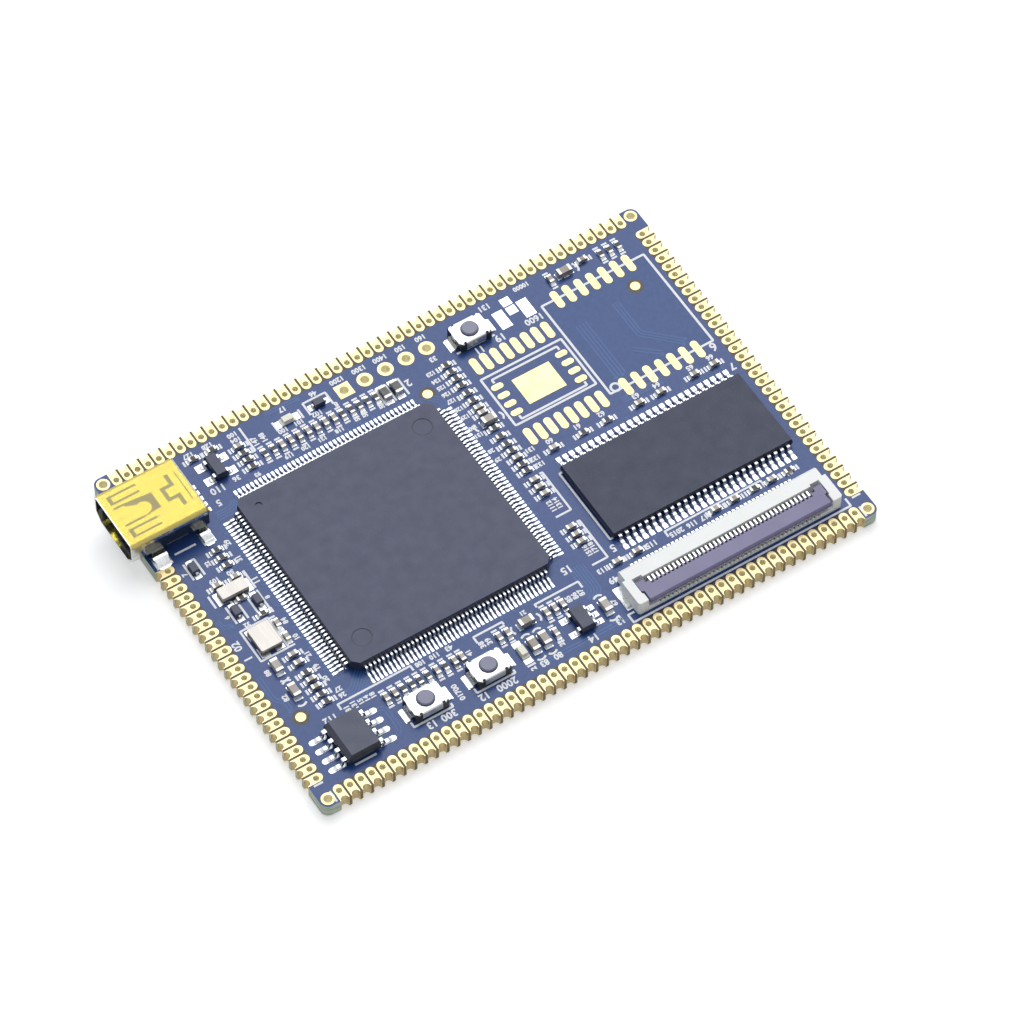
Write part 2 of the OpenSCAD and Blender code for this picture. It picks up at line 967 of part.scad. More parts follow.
// An end wall seen from above: it starts inside the bar, and steps in near its front.
module fpc_wall_outline() {
    back = fpc_bar - 2 * fpc_bar_relief;
    step = 3.6;
    corner = 0.2;
    polygon([
        [fpc_inner, -back],
        [fpc_half, -back],
        [fpc_half, corner - fpc_front],
        [fpc_half - corner, -fpc_front],
        [fpc_inner - fpc_wall_step, -fpc_front],
        [fpc_inner - fpc_wall_step, -step - fpc_wall_step],
        [fpc_inner, -step]
    ]);
}

module fpc_housing() {
    pin_reach = lever_half + pin_length + pin_clearance;
    color("#f2f2ee")
        translate(fpc_place)
            difference() {
                union() {
                    fpc_across(fpc_inner) fpc_floor_profile();
                    fpc_across(fpc_bar_half) fpc_bar_profile(fpc_bar - fpc_bar_relief);
                    fpc_across(fpc_inner - fpc_ear - 0.2) fpc_bar_profile(fpc_bar);
                    for (side = [0, 1])
                        mirror([side, 0, 0])
                            translate([0, 0, seat_z])
                                linear_extrude(fpc_height - land_height)
                                    fpc_wall_outline();
                }
                on_fpc_contacts()
                    fpc_block(-fpc_slot / 2, fpc_slot / 2, 0.25 - fpc_front, gap, 0, fpc_slot_top);
                on_fpc_contacts()
                    fpc_block(
                        -fpc_slot / 2, fpc_slot / 2,
                        -fpc_front - gap, gap - fpc_front + 0.25,
                        0.2, fpc_floor + gap
                    );
                translate([-pin_reach, lever_axis[0], top_z + lever_axis[1]])
                    rotate([0, 90, 0])
                        cylinder(d = lever_pin + 2 * pin_clearance, h = 2 * pin_reach);
                for (side = [0, 1])
                    mirror([side, 0, 0])
                        fpc_tab_shape(0.02, gap);
            }
}

// A fork pressed in from the back: a lower beam, an upper arm and a tail on its land.
module fpc_fork() {
    tail = 0.9;
    tail_top = 0.22;
    beam = 4.3;
    root = 1.3;
    translate([fpc_contact_width / 2, 0, top_z])
        rotate([90, 0, -90])
            linear_extrude(fpc_contact_width)
                polygon([
                    [-tail, land_height],
                    [beam, land_height],
                    [beam, fpc_floor],
                    [beam - 0.15, fpc_floor + 0.2],
                    [beam - 0.4, fpc_floor + 0.05],
                    [root, fpc_floor - 0.1],
                    [root, fpc_arm_low],
                    [fpc_contact_tip - 0.2, fpc_arm_low + 0.08],
                    [fpc_contact_tip - 0.1, fpc_arm_low],
                    [fpc_contact_tip, fpc_arm_low + 0.05],
                    [fpc_contact_tip, fpc_arm_top],
                    [root - 0.7, fpc_arm_top],
                    [root - 0.7, tail_top],
                    [-tail, tail_top]
                ]);
}

module fpc_contacts() {
    color("#d8d9d2")
        translate(fpc_place)
            on_fpc_contacts()
                fpc_fork();
}

// The lever seen from above: its ears reach back to the hinge and its front is notched in.
module fpc_lever_outline() {
    ear = lever_half - fpc_ear;
    notch = 3.3;
    nose = lever_half - 0.3;
    polygon([
        [-ear, lever_back], [ear, lever_back], [ear, lever_ear_back], [lever_half, lever_ear_back],
        [lever_half, -notch], [nose, -notch - 0.15], [nose, lever_front],
        [-nose, lever_front], [-nose, -notch - 0.15], [-lever_half, -notch],
        [-lever_half, lever_ear_back], [-ear, lever_ear_back]
    ]);
}

module fpc_lever_profile() {
    polygon([
        [lever_ear_back, lever_low],
        [lever_ear_back, lever_top],
        [lever_front + 0.15, lever_top],
        [lever_front, lever_top - 0.15],
        [lever_front, lever_low + 0.15],
        [lever_front + 0.2, lever_low]
    ]);
}

// The contacts' arms reach into the windows, so the lever can turn up between them.
module fpc_lever() {
    color("#8f8cab")
        translate(fpc_place) {
            difference() {
                intersection() {
                    fpc_across(lever_half) fpc_lever_profile();
                    translate([0, 0, top_z])
                        linear_extrude(fpc_height)
                            fpc_lever_outline();
                }
                on_fpc_contacts()
                    fpc_block(
                        -lever_window / 2, lever_window / 2,
                        lever_back - lever_window_depth, lever_back + gap,
                        0, fpc_height
                    );
            }
            for (side = [0, 1])
                mirror([side, 0, 0])
                    translate([lever_half, lever_axis[0], top_z + lever_axis[1]])
                        rotate([0, 90, 0])
                            cylinder(d = lever_pin, h = pin_length);
        }
}

// A bent tab: a riser pressed into the end wall and a foot out on its land.
module fpc_tab_shape(slack, below) {
    riser = 0.16;
    inner = fpc_half + 0.6 - fpc_tab[0];
    back = fpc_tab_place - 0.7;
    front = fpc_tab_place + 0.7;
    low = land_height - below;
    foot_top = land_height + fpc_tab[1] + slack;
    fpc_block(inner - slack, fpc_half + 0.6, -front - slack, slack - back, low, foot_top);
    fpc_block(inner - slack, inner + riser + slack, -front - slack, slack - back, low, 1.1 + slack);
}

module fpc_hold_downs() {
    color("#e4e5e8")
        translate(fpc_place)
            for (side = [0, 1])
                mirror([side, 0, 0])
                    fpc_tab_shape(0, 0);
}

// Push switches, drawn from the middle of each.

cover_sheet = 0.15;
cover_corner = 0.35;
plunger_clearance = 0.1;
flange_extra = 0.18;
flange_height = 0.2;
flange_clearance = 0.02;
plunger_proud = 0.3;
plunger_rim = 0.1;
nub_radius = 0.5;
dome_clearance = 0.03;
base_floor = 0.3;
dome_radius = 1.05;
dome_sheet = 0.06;
dome_rise = 0.18;

cover_skirt = 0.95;
cover_bend = 0.2;
cover_notch = 0.32;
skirt_half = switch_length / 2 - cover_corner - cover_notch - 0.1;

// Narrower between the cover's folded sides, with a foot at each corner.
module switch_base() {
    core = switch_width - 2 * cover_sheet;
    feet = switch_length / 2 - 0.05 - skirt_half - 0.03;
    color("#26262b")
        difference() {
            union() {
                translate([-switch_length / 2 + 0.05, -core / 2, seat_z])
                    cube([switch_length - 0.1, core, switch_height - cover_sheet - land_height]);
                for (x = [-1, 1])
                    translate([x * (skirt_half + 0.03 + feet / 2), 0, seat_z])
                        translate([-feet / 2, -switch_width / 2 + 0.05, 0])
                            cube([feet, switch_width - 0.1, switch_height - cover_sheet - 0.1]);
            }
            translate([0, 0, seat_z + base_floor])
                cylinder(r = plunger_diameter / 2 + flange_extra + plunger_clearance, h = switch_height);
        }
}

// A shallow metal cap: a ring of a spherical shell, resting on its rim.
module switch_dome() {
    sphere_radius = (pow(dome_radius, 2) + pow(dome_rise, 2)) / (2 * dome_rise);
    color("#c9c9c4")
        translate([0, 0, seat_z + base_floor + dome_rise - sphere_radius])
            intersection() {
                difference() {
                    sphere(sphere_radius);
                    sphere(sphere_radius - dome_sheet);
                }
                translate([0, 0, sphere_radius - dome_rise])
                    cylinder(r = dome_radius + gap, h = 1);
            }
}

// Turned in one piece: a nub over the dome, a flange under the cover and the stem with its rounded rim.
module switch_plunger() {
    stem = plunger_diameter / 2;
    flange = stem + flange_extra;
    dome_top = seat_z + base_floor + dome_rise;
    nub_low = dome_top + plunger_travel + dome_clearance;
    flange_top = top_z + switch_height - cover_sheet - flange_clearance;
    stem_top = top_z + switch_height + plunger_proud;
    color("#77738c")
        rotate_extrude()
            polygon([
                [0, nub_low],
                [nub_radius, nub_low],
                [nub_radius, flange_top - flange_height],
                [flange, flange_top - flange_height],
                [flange, flange_top],
                [stem, flange_top],
                [stem, stem_top - plunger_rim],
                [stem - plunger_rim, stem_top],
                [0, stem_top]
            ]);
}

// The cover's sheet seen from its end: a flat top with both sides folded down.
module cover_profile() {
    half = switch_width / 2;
    difference() {
        union() {
            translate([cover_bend - half, 0])
                square([2 * half - 2 * cover_bend, cover_bend]);
            translate([-half, cover_bend - cover_skirt])
                square([2 * half, cover_skirt - cover_bend]);
            for (side = [-1, 1])
                translate([side * (half - cover_bend), 0])
                    circle(cover_bend);
        }
        translate([cover_sheet - half, -2 * cover_skirt])
            square([2 * (half - cover_sheet), 2 * cover_skirt + cover_bend - cover_sheet]);
    }
}

// What is cut away at one corner of the cover: the folded side's end, a notch and the corner itself.
module cover_corner_cut() {
    half = switch_width / 2;
    cut = cover_corner * sqrt(2);
    translate([skirt_half, half - 1, -2])
        cube([2, 2, 2]);
    translate([skirt_half, half - 0.25, -1])
        cube([cover_notch, 1, 2]);
    translate([switch_length / 2, half, 0])
        rotate(45)
            cube([cut, cut, 2], center = true);
}

module switch_cover() {
    color("#e9e9ec")
        translate([0, 0, top_z + switch_height - cover_sheet]) {
            difference() {
                translate([-switch_length / 2, 0, cover_sheet - cover_bend])
                    rotate([90, 0, 90])
                        linear_extrude(switch_length)
                            cover_profile();
                for (x = [0, 1])
                    for (y = [0, 1])
                        mirror([x, 0, 0])
                            mirror([0, y, 0])
                                cover_corner_cut();
                translate([0, 0, -1])
                    cylinder(d = plunger_diameter + 2 * plunger_clearance, h = 3);
            }
            for (side = [-1, 1])
                translate([side * switch_length / 2 - 0.05, -0.4, cover_sheet - 0.5])
                    cube([0.1, 0.8, 0.5 - gap / 2]);
        }
}

module switch_terminals() {
    wall = switch_length / 2 - 0.05;
    color("#dcdde0")
        for (side = [0, 180])
            rotate([0, 0, side])
                translate([wall, 0.8, seat_z])
                    rotate([90, 0, 0])
                        linear_extrude(1.6)
                            polygon([
                                [0, 0.35],
                                [0.12, 0.35],
                                [0.3, 0],
                                [0.75, 0],
                                [0.75, 0.15],
                                [0.4, 0.15],
                                [0.2, 0.5],
                                [0, 0.5]
                            ]);
}

module switch_1_base() translate(switch_places[0]) switch_base();
module switch_1_dome() translate(switch_places[0]) switch_dome();
module switch_1_plunger() translate(switch_places[0]) switch_plunger();
module switch_1_cover() translate(switch_places[0]) switch_cover();
module switch_1_terminals() translate(switch_places[0]) switch_terminals();
module switch_2_base() translate(switch_places[1]) switch_base();
module switch_2_dome() translate(switch_places[1]) switch_dome();
module switch_2_plunger() translate(switch_places[1]) switch_plunger();
module switch_2_cover() translate(switch_places[1]) switch_cover();
module switch_2_terminals() translate(switch_places[1]) switch_terminals();
module switch_3_base() translate(switch_places[2]) switch_base();
module switch_3_dome() translate(switch_places[2]) switch_dome();
module switch_3_plunger() translate(switch_places[2]) switch_plunger();
module switch_3_cover() translate(switch_places[2]) switch_cover();
module switch_3_terminals() translate(switch_places[2]) switch_terminals();

// Small parts

module block(length, width, low, high) {
    translate([-length / 2, -width / 2, seat_z + low])
        cube([length, width, high - low]);
}

// Two end caps wrapped around a body, each a little larger than it.
module wrapped_caps(length, width, height, cap) {
    skin = 0.02;
    difference() {
        for (side = [-1, 1])
            translate([side * (length - cap) / 2, 0, 0])
                block(cap, width, 0, height);
        block(length - 2 * skin, width - 2 * skin, skin, height - skin);
    }
}

module wrapped_body(length, width, height) {
    skin = 0.02;
    block(length - 2 * skin, width - 2 * skin, skin, height - skin);
}

bar_crystal = [3.2, 1.5];
square_crystal = [3.2, 2.55];
lid_round = 0.14;

module bar_crystal_base() {
    color("#e6e2d2")
        translate(bar_crystal_place)
            translate([0, 0, seat_z])
                linear_extrude(0.35)
                    chamfered_square(bar_crystal[0], bar_crystal[1], 0.15);
}

module bar_crystal_lid() {
    color("#f1efe8")
        translate(bar_crystal_place)
            translate([0, 0, seat_z + 0.35])
                linear_extrude(0.5)
                    rounded_rectangle(bar_crystal[0] - 0.08, bar_crystal[1] - 0.08, lid_round);
}

module square_crystal_base() {
    color("#4a4a4c")
        translate(square_crystal_place)
            rotate([0, 0, 90])
                translate([0, 0, seat_z])
                    linear_extrude(0.4)
                        chamfered_square(square_crystal[0], square_crystal[1], 0.2);
}

module square_crystal_lid() {
    color("#f0efee")
        translate(square_crystal_place)
            rotate([0, 0, 90])
                translate([0, 0, seat_z + 0.4])
                    linear_extrude(0.4)
                        rounded_rectangle(square_crystal[0] - 0.12, square_crystal[1] - 0.12, lid_round);
}

diode_body = [1.25, 0.85];

module diode_bodies() {
    color("#33353a")
        placed(diode_places)
            moulded_body(diode_body[0], diode_body[1], 0.05, 0.65, 0.05);
}

module diode_terminals() {
    color("#d9dce2")
        placed(diode_places)
            for (side = [0, 180])
                lead_row(1, 1, diode_body[0] / 2, side)
                    gull_lead(0.3, 0.05, 0.25, 0.12, 0.3);
}

module led_bases() {
    color("#f0ead2")
        placed(led_places)
            block(1.6, 0.85, 0, 0.2);
}

module led_lenses() {
    color("#f3ecd0")
        placed(led_places)
            translate([-0.55, 0, seat_z + 0.2])
                rotate([90, 0, 90])
                    linear_extrude(1.1)
                        polygon([[-0.42, 0], [0.42, 0], [0.35, 0.4], [-0.35, 0.4]]);
}

module resistor_bodies() {
    color("#2b2b30")
        placed(resistor_places)
            wrapped_body(1, 0.5, 0.37);
}

module resistor_caps() {
    color("#e6e8ea")
        placed(resistor_places)
            wrapped_caps(1, 0.5, 0.37, 0.24);
}

module capacitor_bodies() {
    color("#b9ad9a") {
        placed(capacitor_places) wrapped_body(1, 0.52, 0.52);
        placed(large_capacitor_places) wrapped_body(1.6, 0.82, 0.82);
    }
}

module capacitor_caps() {
    color("#e6e8ea") {
        placed(capacitor_places) wrapped_caps(1, 0.52, 0.52, 0.25);
        placed(large_capacitor_places) wrapped_caps(1.6, 0.82, 0.82, 0.32);
    }
}

module bead_bodies() {
    color("#303338")
        placed(bead_places)
            wrapped_body(1.6, 0.85, 0.75);
}

module bead_caps() {
    color("#e6e8ea")
        placed(bead_places)
            wrapped_caps(1.6, 0.85, 0.75, 0.28);
}

board_laminate();
edge_contacts_front();
edge_contacts_back();
edge_contacts_left();
edge_contacts_right();
corner_hole_rings();
header_hole_rings();
fiducial_dots();
bare_footprint_lands();
solder_lands();
main_chip_body();
main_chip_leads();
memory_chip_body();
memory_chip_leads();
flash_chip_body();
flash_chip_leads();
regulator_body();
regulator_leads();
protector_body();
protector_leads();
usb_shell();
usb_insulator();
usb_contacts();
usb_film();
fpc_housing();
fpc_contacts();
fpc_lever();
fpc_hold_downs();
switch_1_base();
switch_1_dome();
switch_1_plunger();
switch_1_cover();
switch_1_terminals();
switch_2_base();
switch_2_dome();
switch_2_plunger();
switch_2_cover();
switch_2_terminals();
switch_3_base();
switch_3_dome();
switch_3_plunger();
switch_3_cover();
switch_3_terminals();
bar_crystal_base();
bar_crystal_lid();
square_crystal_base();
square_crystal_lid();
diode_bodies();
diode_terminals();
led_bases();
led_lenses();
resistor_bodies();
resistor_caps();
capacitor_bodies();
capacitor_caps();
bead_bodies();
bead_caps();
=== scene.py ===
import math

import bpy
import numpy as np
from mathutils import Matrix, Vector


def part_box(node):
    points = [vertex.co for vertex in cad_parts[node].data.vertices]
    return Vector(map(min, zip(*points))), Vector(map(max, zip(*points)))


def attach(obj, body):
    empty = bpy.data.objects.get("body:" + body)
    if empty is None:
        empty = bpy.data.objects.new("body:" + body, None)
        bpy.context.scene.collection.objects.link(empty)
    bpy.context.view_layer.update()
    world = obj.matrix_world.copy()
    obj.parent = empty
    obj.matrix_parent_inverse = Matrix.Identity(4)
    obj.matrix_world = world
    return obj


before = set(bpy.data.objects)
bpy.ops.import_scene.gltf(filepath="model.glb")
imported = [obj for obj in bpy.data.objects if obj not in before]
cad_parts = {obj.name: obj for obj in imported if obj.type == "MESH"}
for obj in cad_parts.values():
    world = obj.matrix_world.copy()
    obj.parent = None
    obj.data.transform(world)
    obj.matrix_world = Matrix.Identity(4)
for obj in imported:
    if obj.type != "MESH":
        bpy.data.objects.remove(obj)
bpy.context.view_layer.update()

bl_info = {
    "name": "Core Board Finish",
    "version": (1, 0, 0),
    "blender": (4, 5, 0),
    "location": "3D View > Sidebar > Core Board",
    "description": "Finishes, print, tracks and solder for a microcontroller core board",
    "category": "Object",
}

MM = 0.001
BOARD_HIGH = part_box("board_laminate")[1]
BOARD_TOP = BOARD_HIGH.z
LAND_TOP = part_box("solder_lands")[1].z
MAIN_CHIP_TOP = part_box("main_chip_body")[1].z

# From here on, places and sizes are in millimetres, unless a comment says otherwise.
# The edge contacts: their pitch, their bores' place inside the board's edge, and half the
# width of the strip under them that the mask leaves bare.
CONTACT_PITCH = 1.27
CONTACT_INSET = 1.18
CONTACT_STRIP_HALF = 0.95
# The middle and half the length of the strips at the front and back, on the right and on the left.
LONG_STRIP = (0.0, 31.6)
RIGHT_STRIP = (0.0, 20.1)
LEFT_STRIP = (-5.1, 15.0)
# Radii of the plated bores, and how far past them their finish may reach.
CONTACT_BORE = 0.33
CORNER_BORE = 0.475
HEADER_BORE = 0.5
BORE_MARGIN = 0.005
# Radius that the mask leaves bare round each fiducial dot.
FIDUCIAL_CLEARING = 0.92
# Where copper under the mask makes it greener: a middle, and half the size each way.
COPPER_PLANE = ((24.5, 10.65), (6.2, 6.4))
# Round marks that the mould's ejector pins left: x, y and radius, and half the width of the
# near-black ring of painted shade in each one's recess.
EJECTOR_MARKS = ((-20.2, -8.75, 1.05), (-1.35, 10.0, 1.05))
EJECTOR_SHADE_HALF = 0.09
# The USB socket: its middle, its feet as x and width, and how far their ends are from its middle.
SOCKET_MIDDLE_Y = 15.45
SOCKET_FEET = ((-32.2, 1.5), (-26.85, 1.0))
SOCKET_FOOT_REACH = 5.1
# A pattern on rolled or drawn metal is stretched along the axis that it was drawn in.
DRAWN = {"X": (0.06, 1.0, 1.0), "Y": (1.0, 0.06, 1.0), "Z": (1.0, 1.0, 0.06)}


# ---- Colours and patterns ---------------------------------------------------

def linear(hex_colour, alpha=True):
    """An sRGB hex colour as linear values."""
    parts = [int(hex_colour[i:i + 2], 16) / 255 for i in (1, 3, 5)]
    parts = [p / 12.92 if p <= 0.04045 else ((p + 0.055) / 1.055) ** 2.4 for p in parts]
    return (*parts, 1.0) if alpha else tuple(parts)


def with_alpha(colour):
    """A colour setting as the four values that a node's socket takes."""
    return (*colour, 1.0)


def connect(owner, node, inputs):
    """Sets or links a node's inputs. Another node given as a value is linked by its first output
    in use."""
    for socket, value in inputs.items():
        if isinstance(value, bpy.types.Node):
            value = next(output for output in value.outputs if output.enabled)
        if isinstance(value, bpy.types.NodeSocket):
            owner.node_tree.links.new(value, node.inputs[socket])
        else:
            node.inputs[socket].default_value = value


def add_node(owner, kind, inputs, **settings):
    """Adds one node with its settings, and sets or links its inputs."""
    node = owner.node_tree.nodes.new(kind)
    for name, value in settings.items():
        setattr(node, name, value)
    connect(owner, node, inputs)
    return node


def per_metre(size):
    """The texture scale that gives a pattern of this many millimetres."""
    return 1 / (size * MM)


def start_finish(name, metallic=0.0, roughness=0.5, ior=1.5):
    """A new material with its shader's plain values, and the piece's own coordinates."""
    material = bpy.data.materials.new(name)
    material.use_nodes = True
    surface = material.node_tree.nodes["Principled BSDF"]
    connect(material, surface, {"Metallic": metallic, "Roughness": roughness, "IOR": ior})
    return material, surface, add_node(material, "ShaderNodeTexCoord", {}).outputs["Object"]


def mottle(material, place, size, dark, light, detail=3.0):
    """A colour that wanders between two shades, in patches of this many millimetres."""
    patches = add_node(material, "ShaderNodeTexNoise", {
        "Vector": place, "Scale": per_metre(size), "Detail": detail})
    steep = add_node(material, "ShaderNodeMapRange", {"Value": patches, "From Min": 0.3, "From Max": 0.7})
    return add_node(material, "ShaderNodeMix", {0: steep, 6: dark, 7: light}, data_type="RGBA")


def wander(material, place, size, low, high):
    """A value that wanders between two others, in patches of this many millimetres."""
    patches = add_node(material, "ShaderNodeTexNoise", {
        "Vector": place, "Scale": per_metre(size), "Detail": 3.0})
    return add_node(material, "ShaderNodeMapRange", {
        "Value": patches, "From Min": 0.3, "From Max": 0.7, "To Min": low, "To Max": high})


def grain(material, place, size, depth, strength=0.5):
    """The bump of a raised grain of this size and depth in millimetres."""
    bumps = add_node(material, "ShaderNodeTexNoise", {
        "Vector": place, "Scale": per_metre(size), "Detail": 2.0})
    return add_node(material, "ShaderNodeBump", {
        "Height": bumps, "Distance": depth * MM, "Strength": strength})


def within(material, x, y, middle, half):
    """1 inside a rectangle, given by its middle and by half its size each way."""
    across = add_node(material, "ShaderNodeMath", {
        0: x, 1: middle[0] * MM, 2: half[0] * MM}, operation="COMPARE")
    along = add_node(material, "ShaderNodeMath", {
        0: y, 1: middle[1] * MM, 2: half[1] * MM}, operation="COMPARE")
    return add_node(material, "ShaderNodeMath", {0: across, 1: along}, operation="MULTIPLY")


def near(material, place, middle, radius):
    """1 within this many millimetres of a point, which is in metres as the coordinates are."""
    away = add_node(material, "ShaderNodeVectorMath", {0: place, 1: middle}, operation="DISTANCE")
    return add_node(material, "ShaderNodeMath", {0: away, 1: radius * MM}, operation="LESS_THAN")


def any_of(owner, masks):
    """1 where at least one of the masks is 1."""
    whole = masks[0]
    for mask in masks[1:]:
        whole = add_node(owner, "ShaderNodeMath", {0: whole, 1: mask}, operation="MAXIMUM")
    return whole


# ---- Finishes ---------------------------------------------------------------

def mask_shades(material, place, finish):
    """Blue solder mask: large cloudy areas, greener over the copper plane by the right edge,
    with the glass cloth just showing."""
    axes = add_node(material, "ShaderNodeSeparateXYZ", {"Vector": place})
    plane = within(material, axes.outputs["X"], axes.outputs["Y"], *COPPER_PLANE)
    clouds = mottle(material, place, 9.0, with_alpha(finish.mask_dark), with_alpha(finish.mask_light))
    shades = add_node(material, "ShaderNodeMix", {
        0: plane, 6: clouds, 7: linear("#0F4180")}, data_type="RGBA")
    cloth = add_node(material, "ShaderNodeTexNoise", {
        "Vector": place, "Scale": per_metre(0.55), "Detail": 1.0})
    weave = add_node(material, "ShaderNodeMapRange", {
        "Value": cloth, "From Min": 0.35, "From Max": 0.65, "To Min": 0.0, "To Max": 0.16})
    return add_node(material, "ShaderNodeMix", {
        0: weave, 6: shades, 7: with_alpha(finish.mask_weave)}, data_type="RGBA")


def masked_laminate(finish):
    """Glass-cloth laminate with a printed solder mask: glossy blue faces, and sawn
    sides where the pale green cloth layers show. The mask stops short of the contacts, where the
    bare laminate is a dark brown, partly painted shade for the narrow gaps between the lands."""
    material, surface, place = start_finish("solder_mask_on_glass_laminate", ior=1.52)
    axes = add_node(material, "ShaderNodeSeparateXYZ", {"Vector": place})
    x, y = axes.outputs["X"], axes.outputs["Y"]
    away = add_node(material, "ShaderNodeMath", {0: y}, operation="ABSOLUTE")
    normal = add_node(material, "ShaderNodeSeparateXYZ", {"Vector": place.node.outputs["Normal"]})
    level = add_node(material, "ShaderNodeMath", {0: normal.outputs["Z"]}, operation="ABSOLUTE")
    face = add_node(material, "ShaderNodeMath", {0: level, 1: 0.6}, operation="GREATER_THAN")

    half = CONTACT_STRIP_HALF
    strip_x, strip_y = BOARD_HIGH.x / MM - half, BOARD_HIGH.y / MM - half
    contact_rows = any_of(material, [
        within(material, x, away, (LONG_STRIP[0], strip_y), (LONG_STRIP[1], half)),
        within(material, x, y, (strip_x, RIGHT_STRIP[0]), (half, RIGHT_STRIP[1])),
        within(material, x, y, (-strip_x, LEFT_STRIP[0]), (half, LEFT_STRIP[1]))])
    dots = [near(material, place, (*(low + high)[:2] / 2, BOARD_TOP), FIDUCIAL_CLEARING)
            for low, high in separate_boxes("fiducial_dots")]
    # Partly painted shade: the bare laminate by the contacts and round the fiducial dots is a dark brown, which
    # darkens the narrow gaps between the lands.
    faces = add_node(material, "ShaderNodeMix", {
        0: any_of(material, [contact_rows, *dots]), 6: mask_shades(material, place, finish),
        7: mottle(material, place, 0.5, linear("#2E2A25"), linear("#4A4136"))}, data_type="RGBA")

    pressed = add_node(material, "ShaderNodeMapping", {"Vector": place, "Scale": (0.35, 0.35, 3.0)})
    layers = add_node(material, "ShaderNodeTexNoise", {
        "Vector": pressed, "Scale": per_metre(0.5), "Detail": 4.0})
    stripes = add_node(material, "ShaderNodeMapRange", {"Value": layers, "From Min": 0.35, "From Max": 0.65})
    sawn = add_node(material, "ShaderNodeMix", {
        0: stripes, 6: with_alpha(finish.core_dark), 7: with_alpha(finish.core_light)}, data_type="RGBA")
    # Along the contact rows the sawn sides are drawn a darker brown.
    darker_row_sides = add_node(material, "ShaderNodeMix", {
        0: stripes, 6: linear("#756A4C"), 7: linear("#918462")}, data_type="RGBA")
    sides = add_node(material, "ShaderNodeMix", {0: contact_rows, 6: sawn, 7: darker_row_sides}, data_type="RGBA")
    connect(material, surface, {
        "Base Color": add_node(material, "ShaderNodeMix", {0: face, 6: sides, 7: faces}, data_type="RGBA"),
        "Specular IOR Level": 0.32,
        "Roughness": add_node(material, "ShaderNodeMix", {0: face, 2: 0.75, 3: finish.mask_roughness}),
        "Normal": grain(material, place, 0.35, 0.008, 0.35)})
    return material


def masked_copper(finish):
    """Solder mask over copper: the same varnish, lighter where metal lies under it."""
    material, surface, place = start_finish(
        "solder_mask_on_copper", roughness=finish.mask_roughness, ior=1.52)
    connect(material, surface, {
        "Base Color": mottle(material, place, 6.0, linear("#2C5592"), linear("#37609C")),
        "Specular IOR Level": 0.32,
        "Normal": grain(material, place, 0.35, 0.006, 0.3)})
    return material


def printed_ink(finish):
    """Screen-printed white epoxy ink: matt, slightly patchy where the screen's threads lay."""
    material, surface, place = start_finish("white_print_ink", roughness=0.6)
    connect(material, surface, {
        "Base Color": mottle(material, place, 0.25, linear("#EEF2FA"), with_alpha(finish.ink_colour)),
        "Normal": grain(material, place, 0.12, 0.006)})
    return material


def inside_bores(material, place):
    """1 on the walls of the plated bores. Seen from above, the contacts' bores lie alike in the
    board's four quarters, and so do the corner holes."""
    plan = add_node(material, "ShaderNodeVectorMath", {0: place, 1: (1.0, 1.0, 0.0)}, operation="MULTIPLY")
    quarter = add_node(material, "ShaderNodeVectorMath", {0: plan}, operation="ABSOLUTE")
    pitch, inset = CONTACT_PITCH * MM, CONTACT_INSET * MM
    long_row = add_node(material, "ShaderNodeVectorMath", {
        0: quarter, 1: (pitch, 1.0, 1.0), 2: (0.0, 0.0, 0.0)}, operation="WRAP")
    short_row = add_node(material, "ShaderNodeVectorMath", {
        0: quarter, 1: (1.0, pitch, 1.0), 2: (0.0, 0.0, 0.0)}, operation="WRAP")
    low, high = separate_boxes("corner_hole_rings")[0]
    corner = abs(low + high) / 2
    bores = [(long_row, (pitch / 2, BOARD_HIGH.y - inset), CONTACT_BORE),
             (short_row, (BOARD_HIGH.x - inset, pitch / 2), CONTACT_BORE),
             (quarter, corner[:2], CORNER_BORE)]
    bores += [(plan, (low + high)[:2] / 2, HEADER_BORE) for low, high in separate_boxes("header_hole_rings")]
    return any_of(material, [near(material, grid, (*axis, 0.0), radius + BORE_MARGIN)
                             for grid, axis, radius in bores])


def plated_gold(finish):
    """Immersion gold over nickel: a thin pale gold with the copper's fine grain under it.
    The drill left the bores rough, so they scatter the light that falls in, and their walls are
    drawn a much paler gold as painted light."""
    material, surface, place = start_finish("immersion_gold", metallic=1.0)
    inside = inside_bores(material, place)
    rolled = mottle(material, place, 1.6, linear("#B9A97C"), with_alpha(finish.gold_colour))
    # Painted light: the bore walls take a much paler gold than the lands.
    painted_bore_light = mottle(material, place, 0.3, linear("#E9E4C9"), linear("#F6F1D8"))
    connect(material, surface, {
        "Base Color": add_node(material, "ShaderNodeMix", {0: inside, 6: rolled, 7: painted_bore_light}, data_type="RGBA"),
        "Roughness": add_node(material, "ShaderNodeMix", {
            0: inside, 2: wander(material, place, 0.8, 0.36, 0.44), 3: 0.68}),
        "Normal": grain(material, place, 0.12, 0.003, 0.3)})
    return material


def reflowed_tin():
    """Reflowed tin solder: bright, gently dimpled, with a faint frost."""
    material, surface, place = start_finish("reflowed_tin_solder", metallic=1.0)
    connect(material, surface, {
        "Base Color": mottle(material, place, 0.5, linear("#C8CCD1"), linear("#DEE1E4")),
        "Roughness": wander(material, place, 0.35, 0.24, 0.38),
        "Normal": grain(material, place, 0.35, 0.02, 0.35)})
    return material


def plated_caps():
    """Plated end caps of the small parts: matt tin over fired silver, duller than the solder."""
    material, surface, place = start_finish("matt_tin_end_caps", metallic=1.0)
    connect(material, surface, {
        "Base Color": mottle(material, place, 0.3, linear("#A3A29C"), linear("#BEBDB7")),
        "Roughness": wander(material, place, 0.25, 0.36, 0.5),
        "Normal": grain(material, place, 0.12, 0.006, 0.4)})
    return material


